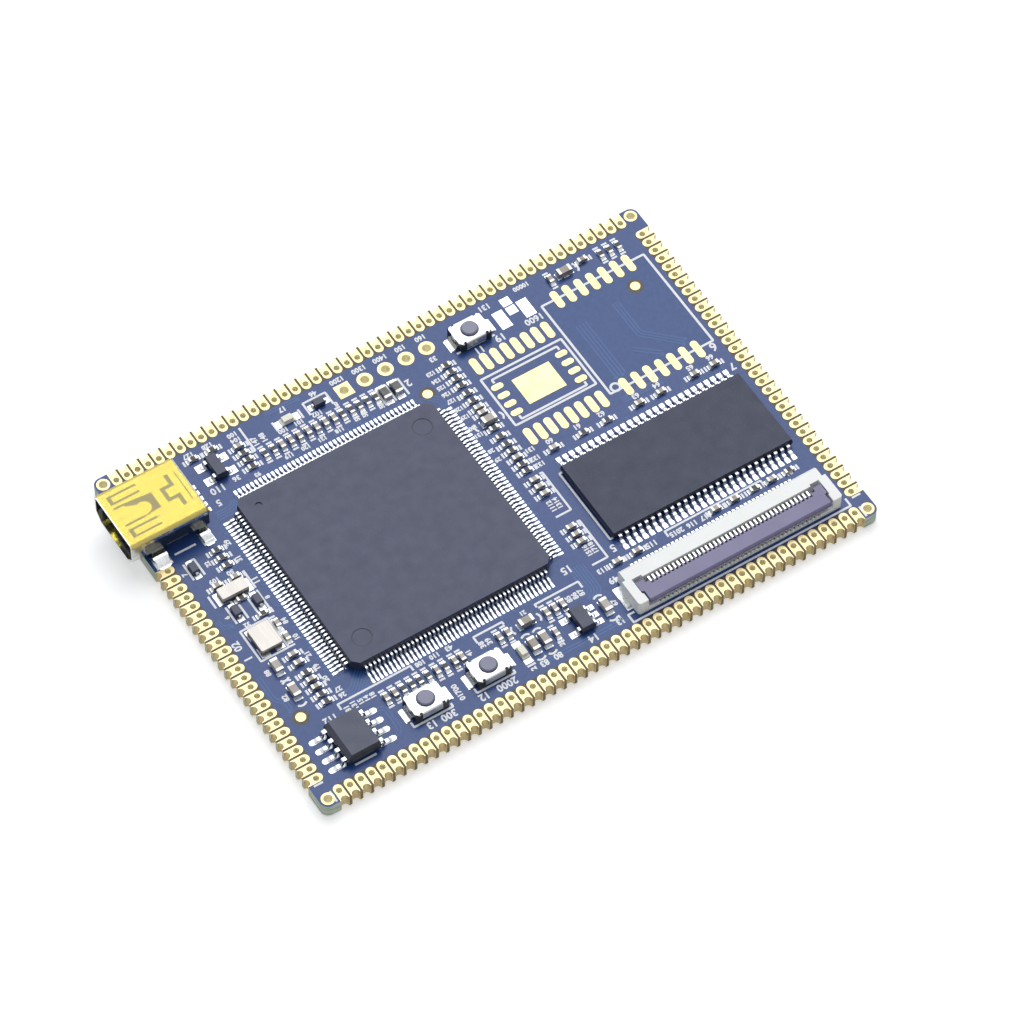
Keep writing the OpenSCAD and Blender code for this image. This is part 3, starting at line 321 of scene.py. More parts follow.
def plated_leads(name, dark, light, along="Z", rough=(0.2, 0.32)):
    """Matt tin on stamped copper: satin, with faint draw marks from the forming tool."""
    material, surface, place = start_finish(name, metallic=1.0)
    marks = add_node(material, "ShaderNodeMapping", {"Vector": place, "Scale": DRAWN[along]}).outputs[0]
    connect(material, surface, {
        "Base Color": mottle(material, place, 0.3, linear(dark), linear(light)),
        "Roughness": wander(material, marks, 0.15, *rough),
        "Normal": grain(material, place, 0.1, 0.004, 0.4)})
    return material


def moulding_compound(name, dark, light, sheen=0.5, grit=0.14, marks=()):
    """Black epoxy moulding compound: filled with silica, so it is a matt dark grey with a
    fine sparkle. The mould's spark-eroded grit is 0.03 mm and is drawn coarser to show.
    Each ejector mark gets a near-black ring of painted shade in its recess."""
    material, surface, place = start_finish(name, ior=1.55)
    clouds = mottle(material, place, 4.0, linear(dark), linear(light), 4.0)
    flecks = add_node(material, "ShaderNodeTexNoise", {
        "Vector": place, "Scale": per_metre(grit), "Detail": 1.0})
    sparkle = add_node(material, "ShaderNodeMapRange", {
        "Value": flecks, "From Min": 0.6, "From Max": 0.8, "To Max": 0.16})
    colour = add_node(material, "ShaderNodeMix", {
        0: sparkle, 6: clouds, 7: linear("#6A6C7A")}, data_type="RGBA")
    # Painted shade: a near-black ring in the recess of each ejector mark.
    for x, y, radius in marks:
        away = add_node(material, "ShaderNodeVectorMath", {
            0: place, 1: (x * MM, y * MM, MAIN_CHIP_TOP)}, operation="DISTANCE")
        groove_shade = add_node(material, "ShaderNodeMath", {
            0: away, 1: radius * MM, 2: EJECTOR_SHADE_HALF * MM}, operation="COMPARE")
        colour = add_node(material, "ShaderNodeMix", {
            0: groove_shade, 6: colour, 7: linear("#0C0D11")}, data_type="RGBA")
    connect(material, surface, {
        "Base Color": colour, "Specular IOR Level": sheen, "Specular Tint": linear("#DCE2FF"),
        "Roughness": wander(material, place, 1.5, 0.38, 0.46),
        "Normal": grain(material, place, grit, 0.008, 0.4)})
    return material


def moulded_plastic(name, dark, light, roughness=(0.4, 0.5), glow=0.0):
    """Injection-moulded plastic: near-even colour, a soft sheen and a fine mould grain."""
    material, surface, place = start_finish(name, ior=1.53)
    connect(material, surface, {
        "Base Color": mottle(material, place, 2.0, linear(dark), linear(light)),
        "Roughness": wander(material, place, 1.0, *roughness),
        "Normal": grain(material, place, 0.15, 0.006, 0.4)})
    if glow:
        connect(material, surface, {"Subsurface Weight": glow, "Subsurface Scale": 0.5 * MM})
    return material


def socket_steel(shaded_below, mouth_end, film_end):
    """Nickel-plated drawn steel: a soft mirror on top, with streaks along the rolling. The lower
    sides behind the mouth and the rear edge are drawn dark grey as painted shade, and solder
    has wetted the feet."""
    material, surface, place = start_finish("nickel_on_drawn_steel", metallic=1.0)
    streaks = add_node(material, "ShaderNodeMapping", {"Vector": place, "Scale": DRAWN["X"]}).outputs[0]
    axes = add_node(material, "ShaderNodeSeparateXYZ", {"Vector": place})
    low = add_node(material, "ShaderNodeMath", {
        0: axes.outputs["Z"], 1: shaded_below}, operation="LESS_THAN")
    behind_mouth = add_node(material, "ShaderNodeMath", {
        0: axes.outputs["X"], 1: mouth_end}, operation="GREATER_THAN")
    side = add_node(material, "ShaderNodeMath", {0: low, 1: behind_mouth}, operation="MULTIPLY")
    rear = add_node(material, "ShaderNodeMath", {
        0: axes.outputs["X"], 1: film_end}, operation="GREATER_THAN")
    # Painted shade: dark grey on the lower sides behind the mouth and on the rear edge.
    body = add_node(material, "ShaderNodeMix", {
        0: any_of(material, [side, rear]),
        6: mottle(material, streaks, 0.25, linear("#BEC0C1"), linear("#D6D7D6")),
        7: mottle(material, streaks, 0.25, linear("#66655F"), linear("#7C7B75"))}, data_type="RGBA")
    film_low, film_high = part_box("usb_film")
    half = (film_high.y - film_low.y) / 2 + 0.12 * MM
    between_feet = add_node(material, "ShaderNodeMath", {
        0: axes.outputs["Y"], 1: SOCKET_MIDDLE_Y * MM, 2: half}, operation="COMPARE")
    feet = add_node(material, "ShaderNodeMath", {0: 1.0, 1: between_feet}, operation="SUBTRACT")
    wetted = mottle(material, place, 0.5, linear("#D5D6D3"), linear("#F2F2EF"))
    connect(material, surface, {
        "Base Color": add_node(material, "ShaderNodeMix", {0: feet, 6: body, 7: wetted}, data_type="RGBA"),
        "Roughness": add_node(material, "ShaderNodeMix", {0: feet, 2: 0.15, 3: 0.55}),
        "Normal": grain(material, streaks, 0.2, 0.003, 0.5)})
    return material


def rolled_steel(name, dark, light, along="X", rough=(0.2, 0.34)):
    """Nickel-plated rolled steel: a soft mirror with streaks along the rolling."""
    material, surface, place = start_finish(name, metallic=1.0)
    streaks = add_node(material, "ShaderNodeMapping", {"Vector": place, "Scale": DRAWN[along]}).outputs[0]
    connect(material, surface, {
        "Base Color": mottle(material, streaks, 0.25, linear(dark), linear(light)),
        "Roughness": wander(material, streaks, 0.2, *rough),
        "Normal": grain(material, streaks, 0.2, 0.003, 0.5)})
    return material


def yellow_film(finish):
    """Polyimide tape: a clear amber sheet that takes the blue out of what lies under it, so bare
    metal shows yellow through it. Over it lies a pale layer, partly the film's own colour and
    partly painted sheen, which the slots show as grey."""
    material, surface, place = start_finish("polyimide_film", roughness=0.25, ior=1.6)
    connect(material, surface, {
        "Base Color": mottle(material, place, 2.5, with_alpha(finish.film_and_sheen_dark), with_alpha(finish.film_and_sheen_light)),
        "Normal": grain(material, place, 1.2, 0.02, 0.3)})
    clear = add_node(material, "ShaderNodeBsdfTransparent", {"Color": linear("#FFF88C")})
    sheet = add_node(material, "ShaderNodeMixShader", {0: 0.3, 1: clear, 2: surface})
    connect(material, material.node_tree.nodes["Material Output"], {"Surface": sheet})
    return material


def layered_chip(name, top_dark, top_light, side, split):
    """A chip resistor: a dark printed element on top of a white ceramic block."""
    material, surface, place = start_finish(name, roughness=0.45)
    height = add_node(material, "ShaderNodeSeparateXYZ", {"Vector": place}).outputs["Z"]
    above = add_node(material, "ShaderNodeMath", {0: height, 1: split}, operation="GREATER_THAN")
    top = mottle(material, place, 0.4, linear(top_dark), linear(top_light))
    block = mottle(material, place, 0.3, linear(side), linear("#F4F2EC"))
    connect(material, surface, {
        "Base Color": add_node(material, "ShaderNodeMix", {0: above, 6: block, 7: top}, data_type="RGBA"),
        "Normal": grain(material, place, 0.1, 0.005)})
    return material


def fired_ceramic(name, dark, light, size=0.6):
    """Fired ceramic: a smooth biscuit with a slight tooth and small colour changes."""
    material, surface, place = start_finish(name, ior=1.6)
    connect(material, surface, {
        "Base Color": mottle(material, place, size, linear(dark), linear(light)),
        "Roughness": wander(material, place, 0.5, 0.35, 0.5),
        "Normal": grain(material, place, 0.1, 0.005)})
    return material


# ---- Modelling tools --------------------------------------------------------

def clear_selection():
    """Leaves nothing selected, because an operator acts on all that is."""
    if bpy.context.mode != "OBJECT":
        bpy.ops.object.mode_set(mode="OBJECT")
    bpy.ops.object.select_all(action="DESELECT")


def only(piece):
    """Selects one object and makes it the active one."""
    clear_selection()
    piece.select_set(True)
    bpy.context.view_layer.objects.active = piece


def settle(piece, body="board", material=None):
    """Puts the piece's place into its mesh, and has it ride on its body."""
    only(piece)
    bpy.ops.object.transform_apply(location=True, rotation=True, scale=True)
    if material:
        piece.data.materials.clear()
        piece.data.materials.append(material)
    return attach(piece, body)


def dress(material, *nodes):
    """Gives CAD nodes their finish."""
    for name in nodes:
        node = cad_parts[name]
        node.data.materials.clear()
        node.data.materials.append(material)


def separate_boxes(node):
    """The lowest and highest corners of each separate solid of a CAD node."""
    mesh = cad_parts[node].data
    mesh.calc_loop_triangles()
    points = np.empty(len(mesh.vertices) * 3)
    mesh.vertices.foreach_get("co", points)
    points = points.reshape(-1, 3)
    corners = np.empty(len(mesh.loop_triangles) * 3, dtype=np.int64)
    mesh.loop_triangles.foreach_get("vertices", corners)
    places, merged = np.unique(points.round(7), axis=0, return_inverse=True)
    triangles = merged.ravel()[corners].reshape(-1, 3)
    # Each point takes the lowest label round it, until a whole solid has one label.
    label = np.arange(len(places))
    while True:
        lowest = label.copy()
        np.minimum.at(lowest, triangles.ravel(), label[triangles].min(axis=1).repeat(3))
        lowest = lowest[lowest]
        if (lowest == label).all():
            break
        label = lowest
    return [(places[label == k].min(axis=0), places[label == k].max(axis=0)) for k in np.unique(label)]


def facing_out(node):
    """Each solid of a node as its lowest and highest corners, its long axis, and the way that
    it faces from the node's middle."""
    solids = separate_boxes(node)
    centre = sum((low + high) / 2 for low, high in solids) / len(solids)
    for low, high in solids:
        size, middle = high - low, (low + high) / 2
        along = 0 if size[0] > size[1] else 1
        yield low, high, along, math.copysign(1, middle[along] - centre[along])


def rounded(points, radius, closed=False):
    """A path in millimetres with each corner cut by a short arc."""
    points = [Vector(p) for p in points]
    if closed:
        points = points[:-1]
    path = []
    for k, corner in enumerate(points):
        if not closed and k in (0, len(points) - 1):
            path.append(corner)
            continue
        before, after = points[k - 1], points[(k + 1) % len(points)]
        back, on = before - corner, after - corner
        cut = min(radius, back.length / 2, on.length / 2)
        start, end = corner + back.normalized() * cut, corner + on.normalized() * cut
        path += [start, (start + end + 2 * corner) / 4, end]
    if closed:
        path.append(path[0])
    return path


def beside(points, offset):
    """A path in millimetres, moved sideways by the offset."""
    points = [Vector(p) for p in points]
    path = []
    for k, point in enumerate(points):
        ways = []
        if k:
            ways.append((point - points[k - 1]).normalized())
        if k < len(points) - 1:
            ways.append((points[k + 1] - point).normalized())
        sides = [Vector((-w.y, w.x)) for w in ways]
        across = sum(sides, Vector((0, 0))).normalized()
        path.append(point + across * offset / across.dot(sides[0]))
    return path


def draw_lines(name, paths, width, height):
    """Draws flat raised lines along paths in millimetres, as one mesh lying on the board.
    A line is drawn ten times as tall as its radius, and then pressed to its height."""
    clear_selection()
    bpy.ops.curve.primitive_bezier_curve_add()
    lines = bpy.context.active_object
    lines.name = name
    bpy.ops.object.mode_set(mode="EDIT")
    bpy.ops.curve.select_all(action="SELECT")
    bpy.ops.curve.spline_type_set(type="POLY")
    for path in paths:
        bpy.ops.curve.select_all(action="DESELECT")
        for x, y in path:
            bpy.ops.curve.vertex_add(location=(x * MM, y * MM, 0))
    bpy.ops.curve.select_all(action="DESELECT")
    for point in lines.data.splines[0].points:
        point.select = True
    bpy.ops.curve.delete(type="VERT")
    bpy.ops.object.mode_set(mode="OBJECT")
    radius = width * MM / 2
    lines.data.bevel_depth = radius
    lines.data.bevel_resolution = 0
    lines.data.extrude = radius * 4
    lines.data.use_fill_caps = True
    bpy.ops.object.convert(target="MESH")
    lines = bpy.context.active_object
    bpy.ops.object.shade_flat()
    lines.scale.z = height * MM / (radius * 10)
    lines.location.z = BOARD_TOP + height * MM / 2
    return lines


def copies_of(model, matrices, name):
    """Copies a model to each place, each copy with its own mesh, and joins them."""
    made = []
    for matrix in matrices:
        copy = model.copy()
        copy.data = model.data.copy()
        copy.matrix_world = matrix
        bpy.context.scene.collection.objects.link(copy)
        made.append(copy)
    clear_selection()
    for copy in made:
        copy.select_set(True)
    bpy.context.view_layer.objects.active = made[0]
    bpy.ops.object.join()
    joined = bpy.context.active_object
    joined.name = name
    bpy.data.objects.remove(model)
    return joined


# ---- Settings ---------------------------------------------------------------

def colour_setting(name, description, hex_colour):
    """A colour that a user can change, with its default from an sRGB hex value."""
    return bpy.props.FloatVectorProperty(
        name=name, description=description, subtype="COLOR", size=3, min=0, max=1,
        default=linear(hex_colour, alpha=False))


class BoardFinish(bpy.types.PropertyGroup):
    """Colours of the board and what is plated or printed on it."""
    mask_dark: colour_setting("Mask, dark", "Darker areas of the solder mask", "#1D4480")
    mask_light: colour_setting("Mask, light", "Lighter areas of the solder mask", "#2B4786")
    mask_weave: colour_setting("Mask, weave", "Solder mask over the cloth's threads", "#4562A0")
    mask_roughness: bpy.props.FloatProperty(
        name="Mask roughness", description="0 is a mirror", default=0.27, min=0.05, max=1, subtype="FACTOR")
    core_dark: colour_setting("Core, dark", "Darker layers of the sawn laminate", "#A3B5A2")
    core_light: colour_setting("Core, light", "Lighter layers of the sawn laminate", "#DFE6D2")
    ink_colour: colour_setting("Print", "Printed lines", "#FDFEFF")
    gold_colour: colour_setting("Gold", "Plated contacts and bare lands", "#C3B38A")
    # The tape's pale layer: partly its own colour, partly painted sheen.
    film_and_sheen_dark: colour_setting("Film, dark", "Darker areas of the socket's tape", "#EFE6C2")
    film_and_sheen_light: colour_setting("Film, light", "Lighter areas of the socket's tape", "#F8F0CE")


class BoardDetail(bpy.types.PropertyGroup):
    """Sizes of the printed lines, tracks and vias."""
    ink_width: bpy.props.FloatProperty(
        name="Print width", description="Width of a printed line, in millimetres",
        default=0.24, min=0.08, max=0.4)
    ink_height: bpy.props.FloatProperty(
        name="Print height", description="Thickness of the ink, in millimetres",
        default=0.02, min=0.005, max=0.05)
    track_width: bpy.props.FloatProperty(
        name="Track width", description="Width of a copper track, in millimetres",
        default=0.2, min=0.08, max=0.5)
    track_height: bpy.props.FloatProperty(
        name="Track height", description="How far a masked track stands up, in millimetres", default=0.012,
        min=0.005, max=0.05)
    via_diameter: bpy.props.FloatProperty(
        name="Via diameter", description="Diameter of a covered via, in millimetres",
        default=0.5, min=0.3, max=1)


class StudioSettings(bpy.types.PropertyGroup):
    """Light and camera."""
    key_power: bpy.props.FloatProperty(
        name="Key power", description="Power of the soft lamp behind the board",
        default=3.4, min=0, subtype="POWER")
    fill_power: bpy.props.FloatProperty(
        name="Fill power", description="Power of the lamp in front", default=0.5, min=0, subtype="POWER")
    sky_strength: bpy.props.FloatProperty(
        name="Sky strength", description="Light from all round", default=0.3, min=0, max=2)
    lens: bpy.props.FloatProperty(
        name="Lens", description="Focal length of the camera", default=184.87, min=20, max=400, unit="CAMERA")


# ---- Steps ------------------------------------------------------------------

class CORE_OT_laminate(bpy.types.Operator):
    """Solder mask and laminate of the bare board"""
    bl_idname = "core_board.laminate"
    bl_label = "Laminate"
    bl_options = {"REGISTER", "UNDO"}

    def execute(self, context):
        dress(masked_laminate(context.scene.board_finish), "board_laminate")
        return {"FINISHED"}


class CORE_OT_plating(bpy.types.Operator):
    """Gold on the contacts, rings, dots and bare footprints"""
    bl_idname = "core_board.plating"
    bl_label = "Plated contacts"
    bl_options = {"REGISTER", "UNDO"}

    def execute(self, context):
        dress(plated_gold(context.scene.board_finish), "edge_contacts_front", "edge_contacts_back",
              "edge_contacts_left", "edge_contacts_right", "corner_hole_rings", "header_hole_rings",
              "fiducial_dots", "bare_footprint_lands")
        return {"FINISHED"}


# A wedge of solder is cut here along its unit length. These are its widths and heights there:
# hollow where it climbs a lead or an end cap, and nearly straight where it covers a foot.
FILLET_CUTS = (0.25, 0.55, 1.0)
FILLET_WIDTHS = (1.0, 0.88, 0.55)
CONCAVE = (0.62, 0.28, 0.05)
STRAIGHT = (0.88, 0.62, 0.16)
# How far a wedge reaches into what it climbs, and how far it is sunk into its land.
SOLDER_OVERLAP = 0.012
SOLDER_SINK = 0.002
# At an end cap: the wedge's reach, and its shares of the cap's width and height.
CAP_FILLET = (0.26, 1.02, 0.65)
# At the toes of leads: the wedge's height and reach, and its share of the lead's width.
TOE_FILLETS = (("main_chip_leads", 0.14, 0.45), ("memory_chip_leads", 0.16, 0.3),
               ("flash_chip_leads", 0.24, 0.7), ("regulator_leads", 0.16, 0.3),
               ("protector_leads", 0.16, 0.35))
TOE_WIDTH = 1.08
# At the USB socket's feet: a wedge's length, width and height. A ramp and the wedge past an end
# are this much wider than the foot.
RAMP = (1.15, 0.16, 0.62)
RAMP_SHIFT = 0.15
END_FILLET = (0.42, 0.2, 0.22)
EDGE_FILLET = (0.18, 0.9, 0.2)
FOOT_OVERLAP = 0.01


class CORE_OT_solder(bpy.types.Operator):
    """Tin on the lands, and the solder that climbs each lead and end cap"""
    bl_idname = "core_board.solder"
    bl_label = "Solder"
    bl_options = {"REGISTER", "UNDO"}

    def model_fillet(self, heights):
        """A wedge of solder, one unit long, wide and high, that rises towards its -X side."""
        clear_selection()
        bpy.ops.mesh.primitive_cube_add(size=1, location=(0.5, 0, 0.5))
        fillet = bpy.context.active_object
        bpy.ops.object.transform_apply(location=True)
        bpy.ops.object.mode_set(mode="EDIT")
        for cut in FILLET_CUTS[:-1]:
            bpy.ops.mesh.select_all(action="SELECT")
            bpy.ops.mesh.bisect(plane_co=(cut, 0, 0), plane_no=(1, 0, 0))
        bpy.ops.object.mode_set(mode="OBJECT")
        profile = {0.0: (1.0, 1.0)}
        profile.update(zip(FILLET_CUTS, zip(FILLET_WIDTHS, heights)))
        for vertex in fillet.data.vertices:
            width, height = profile[min(profile, key=lambda cut: abs(cut - vertex.co.x))]
            vertex.co.y *= width
            if vertex.co.z > 0.5:
                vertex.co.z = height
        return fillet

    def wedge(self, place, turn, size):
        """The matrix that gives the unit wedge its place, turn and size, in metres."""
        return Matrix.Translation(place) @ Matrix.Rotation(turn, 4, "Z") @ Matrix.Diagonal((*size, 1))

    def against(self, low, high, along, way, size):
        """The matrix that puts the unit wedge against the end of a solid, given by its corners."""
        place = Vector((*(low + high)[:2] / 2, LAND_TOP - SOLDER_SINK * MM))
        place[along] = (high if way > 0 else low)[along] - way * SOLDER_OVERLAP * MM
        return self.wedge(place, math.atan2(way, 0) if along else math.atan2(0, way), size)

    def cap_places(self, caps, bodies):
        """Where a wedge goes at each end cap, which faces away from the nearest body's middle."""
        reach, wide, tall = CAP_FILLET
        middles = [(low + high) / 2 for low, high in separate_boxes(bodies)]
        for low, high in separate_boxes(caps):
            size, middle = high - low, (low + high) / 2
            away = middle - min(middles, key=lambda m: np.hypot(*(m - middle)[:2]))
            along = 0 if abs(away[0]) > abs(away[1]) else 1
            yield self.against(low, high, along, math.copysign(1, away[along]), (
                reach * MM, size[1 - along] * wide, size[2] * tall))

    def toe_places(self, leads, rise, reach):
        """Where a wedge goes at the toe of each lead."""
        for low, high, along, way in facing_out(leads):
            wide = (high - low)[1 - along] * TOE_WIDTH
            yield self.against(low, high, along, way, (reach * MM, wide, rise * MM))

    def foot_places(self):
        """At each foot of the USB socket, a wedge past its end and one along each edge."""
        long, wider, tall = END_FILLET
        level = LAND_TOP / MM - SOLDER_SINK
        for middle_x, width in SOCKET_FEET:
            for way in (-1, 1):
                end = SOCKET_MIDDLE_Y + way * SOCKET_FOOT_REACH
                yield self.wedge(Vector((middle_x, end - way * FOOT_OVERLAP, level)) * MM,
                                 way * math.pi / 2, Vector((long, width + wider, tall)) * MM)
                for side in (-1, 1):
                    edge = middle_x + side * (width / 2 - FOOT_OVERLAP)
                    yield self.wedge(Vector((edge, end - way * EDGE_FILLET[1] / 2, level)) * MM,
                                     math.atan2(0, side), Vector(EDGE_FILLET) * MM)

    def ramp_places(self):
        """A ramp of solder over the flat end of each foot, from its bend down to the land."""
        long, wider, tall = RAMP
        for middle_x, width in SOCKET_FEET:
            for way in (-1, 1):
                start = SOCKET_MIDDLE_Y + way * (SOCKET_FOOT_REACH - long + RAMP_SHIFT)
                yield self.wedge(Vector((middle_x, start, LAND_TOP / MM)) * MM,
                                 way * math.pi / 2, Vector((long, width + wider, tall)) * MM)

    def execute(self, context):
        tin = reflowed_tin()
        dress(tin, "solder_lands")
        dress(plated_leads("matt_tin_on_copper", "#B7BBC0", "#D2D5D8"), "main_chip_leads",
              "memory_chip_leads", "flash_chip_leads", "regulator_leads", "protector_leads",
              "diode_terminals")
        places = []
        for part in ("resistor", "capacitor", "bead"):
            places += self.cap_places(f"{part}_caps", f"{part}_bodies")
        fillets = copies_of(self.model_fillet(CONCAVE), places, "end_cap_solder")
        settle(fillets, material=tin)
        places = []
        for leads, rise, reach in TOE_FILLETS:
            places += self.toe_places(leads, rise, reach)
        toes = copies_of(self.model_fillet(CONCAVE), places, "lead_toe_solder")
        settle(toes, material=tin)
        edges = copies_of(self.model_fillet(CONCAVE), self.foot_places(), "socket_foot_solder")
        ramps = copies_of(self.model_fillet(STRAIGHT), self.ramp_places(), "socket_foot_ramps")
        only(edges)
        ramps.select_set(True)
        bpy.ops.object.join()
        settle(edges, material=tin)
        return {"FINISHED"}


class CORE_OT_chips(bpy.types.Operator):
    """Moulded bodies of the chips"""
    bl_idname = "core_board.chips"
    bl_label = "Chip bodies"
    bl_options = {"REGISTER", "UNDO"}

    def execute(self, context):
        fine = moulding_compound("moulding_compound_fine", "#2B2E3E", "#2F3243", 0.49, marks=EJECTOR_MARKS)
        grey = moulding_compound("moulding_compound_grey", "#1C1F2C", "#212431", 0.4)
        coarse = moulding_compound("moulding_compound_coarse", "#2E313A", "#33363F", 0.54, grit=0.2)
        dress(fine, "main_chip_body")
        dress(grey, "memory_chip_body")
        dress(coarse, "flash_chip_body", "regulator_body", "protector_body", "diode_bodies")
        return {"FINISHED"}


# The socket's sides take painted shade from this far below its roof and behind this length of
# its mouth, and its rear edge takes painted shade from this far before the film's end.
SHADED_BELOW_ROOF = 0.9
UNSHADED_MOUTH = 1.5
SHADED_BEFORE_END = 0.02


class CORE_OT_usb_socket(bpy.types.Operator):
    """Shell, insulator, contacts and tape of the USB socket"""
    bl_idname = "core_board.usb_socket"
    bl_label = "USB socket"
    bl_options = {"REGISTER", "UNDO"}

    def execute(self, context):
        low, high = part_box("usb_shell")
        film_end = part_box("usb_film")[1].x
        steel = socket_steel(high.z - SHADED_BELOW_ROOF * MM, low.x + UNSHADED_MOUTH * MM,
                             film_end - SHADED_BEFORE_END * MM)
        dress(steel, "usb_shell")
        dress(moulded_plastic("black_glass_filled_plastic", "#17181B", "#202226"), "usb_insulator")
        dress(plated_leads("gold_on_bronze_contacts", "#8E7436", "#B39A5C", "X", (0.34, 0.46)), "usb_contacts")
        dress(yellow_film(context.scene.board_finish), "usb_film")
        return {"FINISHED"}


class CORE_OT_cable_connector(bpy.types.Operator):
    """Housing, lever, contacts and hold-downs of the flat cable connector"""
    bl_idname = "core_board.cable_connector"
    bl_label = "Flat cable connector"
    bl_options = {"REGISTER", "UNDO"}

    def execute(self, context):
        dress(moulded_plastic("white_heatproof_plastic", "#F8FBFA", "#FDFFFE", glow=0.1), "fpc_housing")
        dress(moulded_plastic("grey_heatproof_plastic", "#6C688E", "#78739A", (0.35, 0.45)), "fpc_lever")
        dress(plated_leads("tin_on_bronze_contacts", "#C6C8C6", "#E0E1DD", "Y"), "fpc_contacts")
        dress(plated_leads("tin_on_brass_tabs", "#BDBFBF", "#D8D9D7", "X"), "fpc_hold_downs")
        return {"FINISHED"}


class CORE_OT_switches(bpy.types.Operator):
    """Bases, domes, plungers, covers and terminals of the push switches"""
    bl_idname = "core_board.switches"
    bl_label = "Push switches"
    bl_options = {"REGISTER", "UNDO"}

    def execute(self, context):
        groups = {
            "base": moulded_plastic("black_switch_plastic", "#131417", "#1D1E22"),
            "dome": rolled_steel("spring_steel_dome", "#A9AAAB", "#C9C9C8"),
            "plunger": moulded_plastic("grey_plunger_plastic", "#757690", "#80819B", (0.34, 0.45)),
            "cover": rolled_steel("silvered_steel_cover", "#BBC0C2", "#CDD1D3", rough=(0.36, 0.48)),
            "terminals": plated_leads("silver_on_brass_terminals", "#B8BABA", "#D2D4D3", "X"),
        }
        for number in (1, 2, 3):
            for part, material in groups.items():
                dress(material, f"switch_{number}_{part}")
        return {"FINISHED"}


class CORE_OT_crystals(bpy.types.Operator):
    """Metal lids and ceramic bases of the two crystals"""
    bl_idname = "core_board.crystals"
    bl_label = "Crystals"
    bl_options = {"REGISTER", "UNDO"}

    def execute(self, context):
        dress(rolled_steel("nickel_crystal_lid", "#B3B0AC", "#BBB8B3", "Y", (0.56, 0.62)),
              "bar_crystal_lid", "square_crystal_lid")
        dress(fired_ceramic("dark_alumina_ceramic", "#24211F", "#332E2A"),
              "bar_crystal_base", "square_crystal_base")
        return {"FINISHED"}


# How far down a chip resistor's dark printed element is drawn.
ELEMENT_DEPTH = 0.06


class CORE_OT_small_parts(bpy.types.Operator):
    """Resistors, capacitors, beads and LEDs"""
    bl_idname = "core_board.small_parts"
    bl_label = "Small parts"
    bl_options = {"REGISTER", "UNDO"}

    def execute(self, context):
        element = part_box("resistor_bodies")[1].z - ELEMENT_DEPTH * MM
        dress(layered_chip("resistor_on_alumina", "#17181C", "#26272C", "#DAD6CE", element), "resistor_bodies")
        dress(fired_ceramic("barium_titanate_ceramic", "#857A6D", "#BFBAB5", 5.0), "capacitor_bodies")
        dress(fired_ceramic("grey_ferrite", "#2B2B2E", "#3B3B3E"), "bead_bodies")
        dress(plated_caps(), "resistor_caps", "capacitor_caps", "bead_caps")
        dress(moulded_plastic("white_led_base", "#D9DCCB", "#EBEDE0"), "led_bases")
        dress(moulded_plastic("milky_led_resin", "#E6E3CC", "#F4F2E4", (0.2, 0.3), glow=0.2), "led_lenses")
        return {"FINISHED"}


# Paths of the printed lines, in millimetres.
INK_LINES = (
    # chips
    ((8.6, -1.72), (8.05, -1.72), (8.05, -11.35), (8.6, -11.35)),
    ((-28.2, -20.45), (-25.7, -20.45)),
    # brackets round the groups of small parts
    ((-26.0, -14.2), (-26.0, -13.45), (-17.4, -13.45), (-17.4, -14.1)),
    ((-10.2, -14.8), (-10.2, -13.95), (-6.75, -13.95), (-6.75, -14.3)),
    ((-2.8, -14.35), (-2.8, -13.95), (2.45, -13.95), (2.45, -14.8)),
    ((13.3, -14.3), (13.3, -13.55), (25.15, -13.55), (25.15, -14.25)),
    ((6.3, -0.6), (6.65, -0.6), (6.65, -6.1), (4.8, -6.1)),
    ((6.3, -7.7), (6.65, -7.7), (6.65, -13.05), (4.75, -13.05)),
    ((-17.05, 21.0), (-17.05, 17.65), (-17.55, 17.65)),
    # diodes, light and crystals
    ((-30.6, 7.15), (-30.6, 9.4)),
    ((-29.3, 7.15), (-29.3, 9.4), (-30.2, 9.4)),
    ((-29.6, 0.25), (-29.6, 2.6)),
    ((-28.25, 0.25), (-28.25, 2.2)),
    ((-27.1, 0.3), (-27.1, 2.3)),
    ((-25.82, -0.4), (-25.82, 2.75)),
    ((-9.85, 18.4), (-9.85, 20.1), (-7.1, 20.1), (-7.1, 18.4)),
    ((-30.45, 3.0), (-30.45, 4.65)),
    ((-25.75, 3.0), (-25.75, 5.5)),
    ((-29.85, -4.95), (-29.85, -0.75), (-26.6, -0.75), (-26.6, -4.95), (-29.85, -4.95)),
    ((-13.8, 18.5), (-13.8, 19.75)),
    ((-10.65, 18.5), (-10.65, 19.75)),
    ((-7.45, -16.85), (-6.5, -16.85)),
    ((-7.45, -19.55), (-6.5, -19.55)),
    ((-7.45, -19.9), (-6.5, -19.9)),
    # beads
    ((-2.5, 15.2), (-2.5, 17.6)),
    ((-1.3, 15.2), (-1.3, 17.6)),
    ((0.25, 15.2), (0.25, 17.6)),
    # sockets and switches
    ((-30.7, 10.9), (-28.2, 10.9)),
    ((5.3, -20.1), (4.55, -20.1), (4.55, -21.15), (31.3, -21.15), (31.3, -20.1)),
    ((-20.9, -19.2), (-20.9, -19.85), (-16.3, -19.85), (-16.3, -19.4)),
    ((-13.4, -19.2), (-13.4, -19.8), (-8.85, -19.8), (-8.85, -19.4)),
    ((7.2, 16.9), (11.9, 16.9)),
    # ends of the contact rows
    ((-33.0, -20.4), (-31.95, -20.4)),
    ((31.95, -20.4), (33.0, -20.4)),
    ((-31.95, -21.7), (-31.95, -23.1)),
    ((31.95, -21.7), (31.95, -23.1)),
)
WIDE_INK_LINES = (
    ((7.5, 5.85), (7.5, 12.7), (17.5, 12.7), (17.5, 5.85), (7.5, 5.85)),
    ((18.05, 3.95), (18.05, 17.35), (30.95, 17.35), (30.95, 3.95), (18.05, 3.95)),
    ((8.5, 11.6), (8.5, 12.1), (16.6, 12.1), (16.6, 11.6)),
    ((8.5, 6.75), (8.5, 6.25), (16.6, 6.25), (16.6, 6.75)),
)
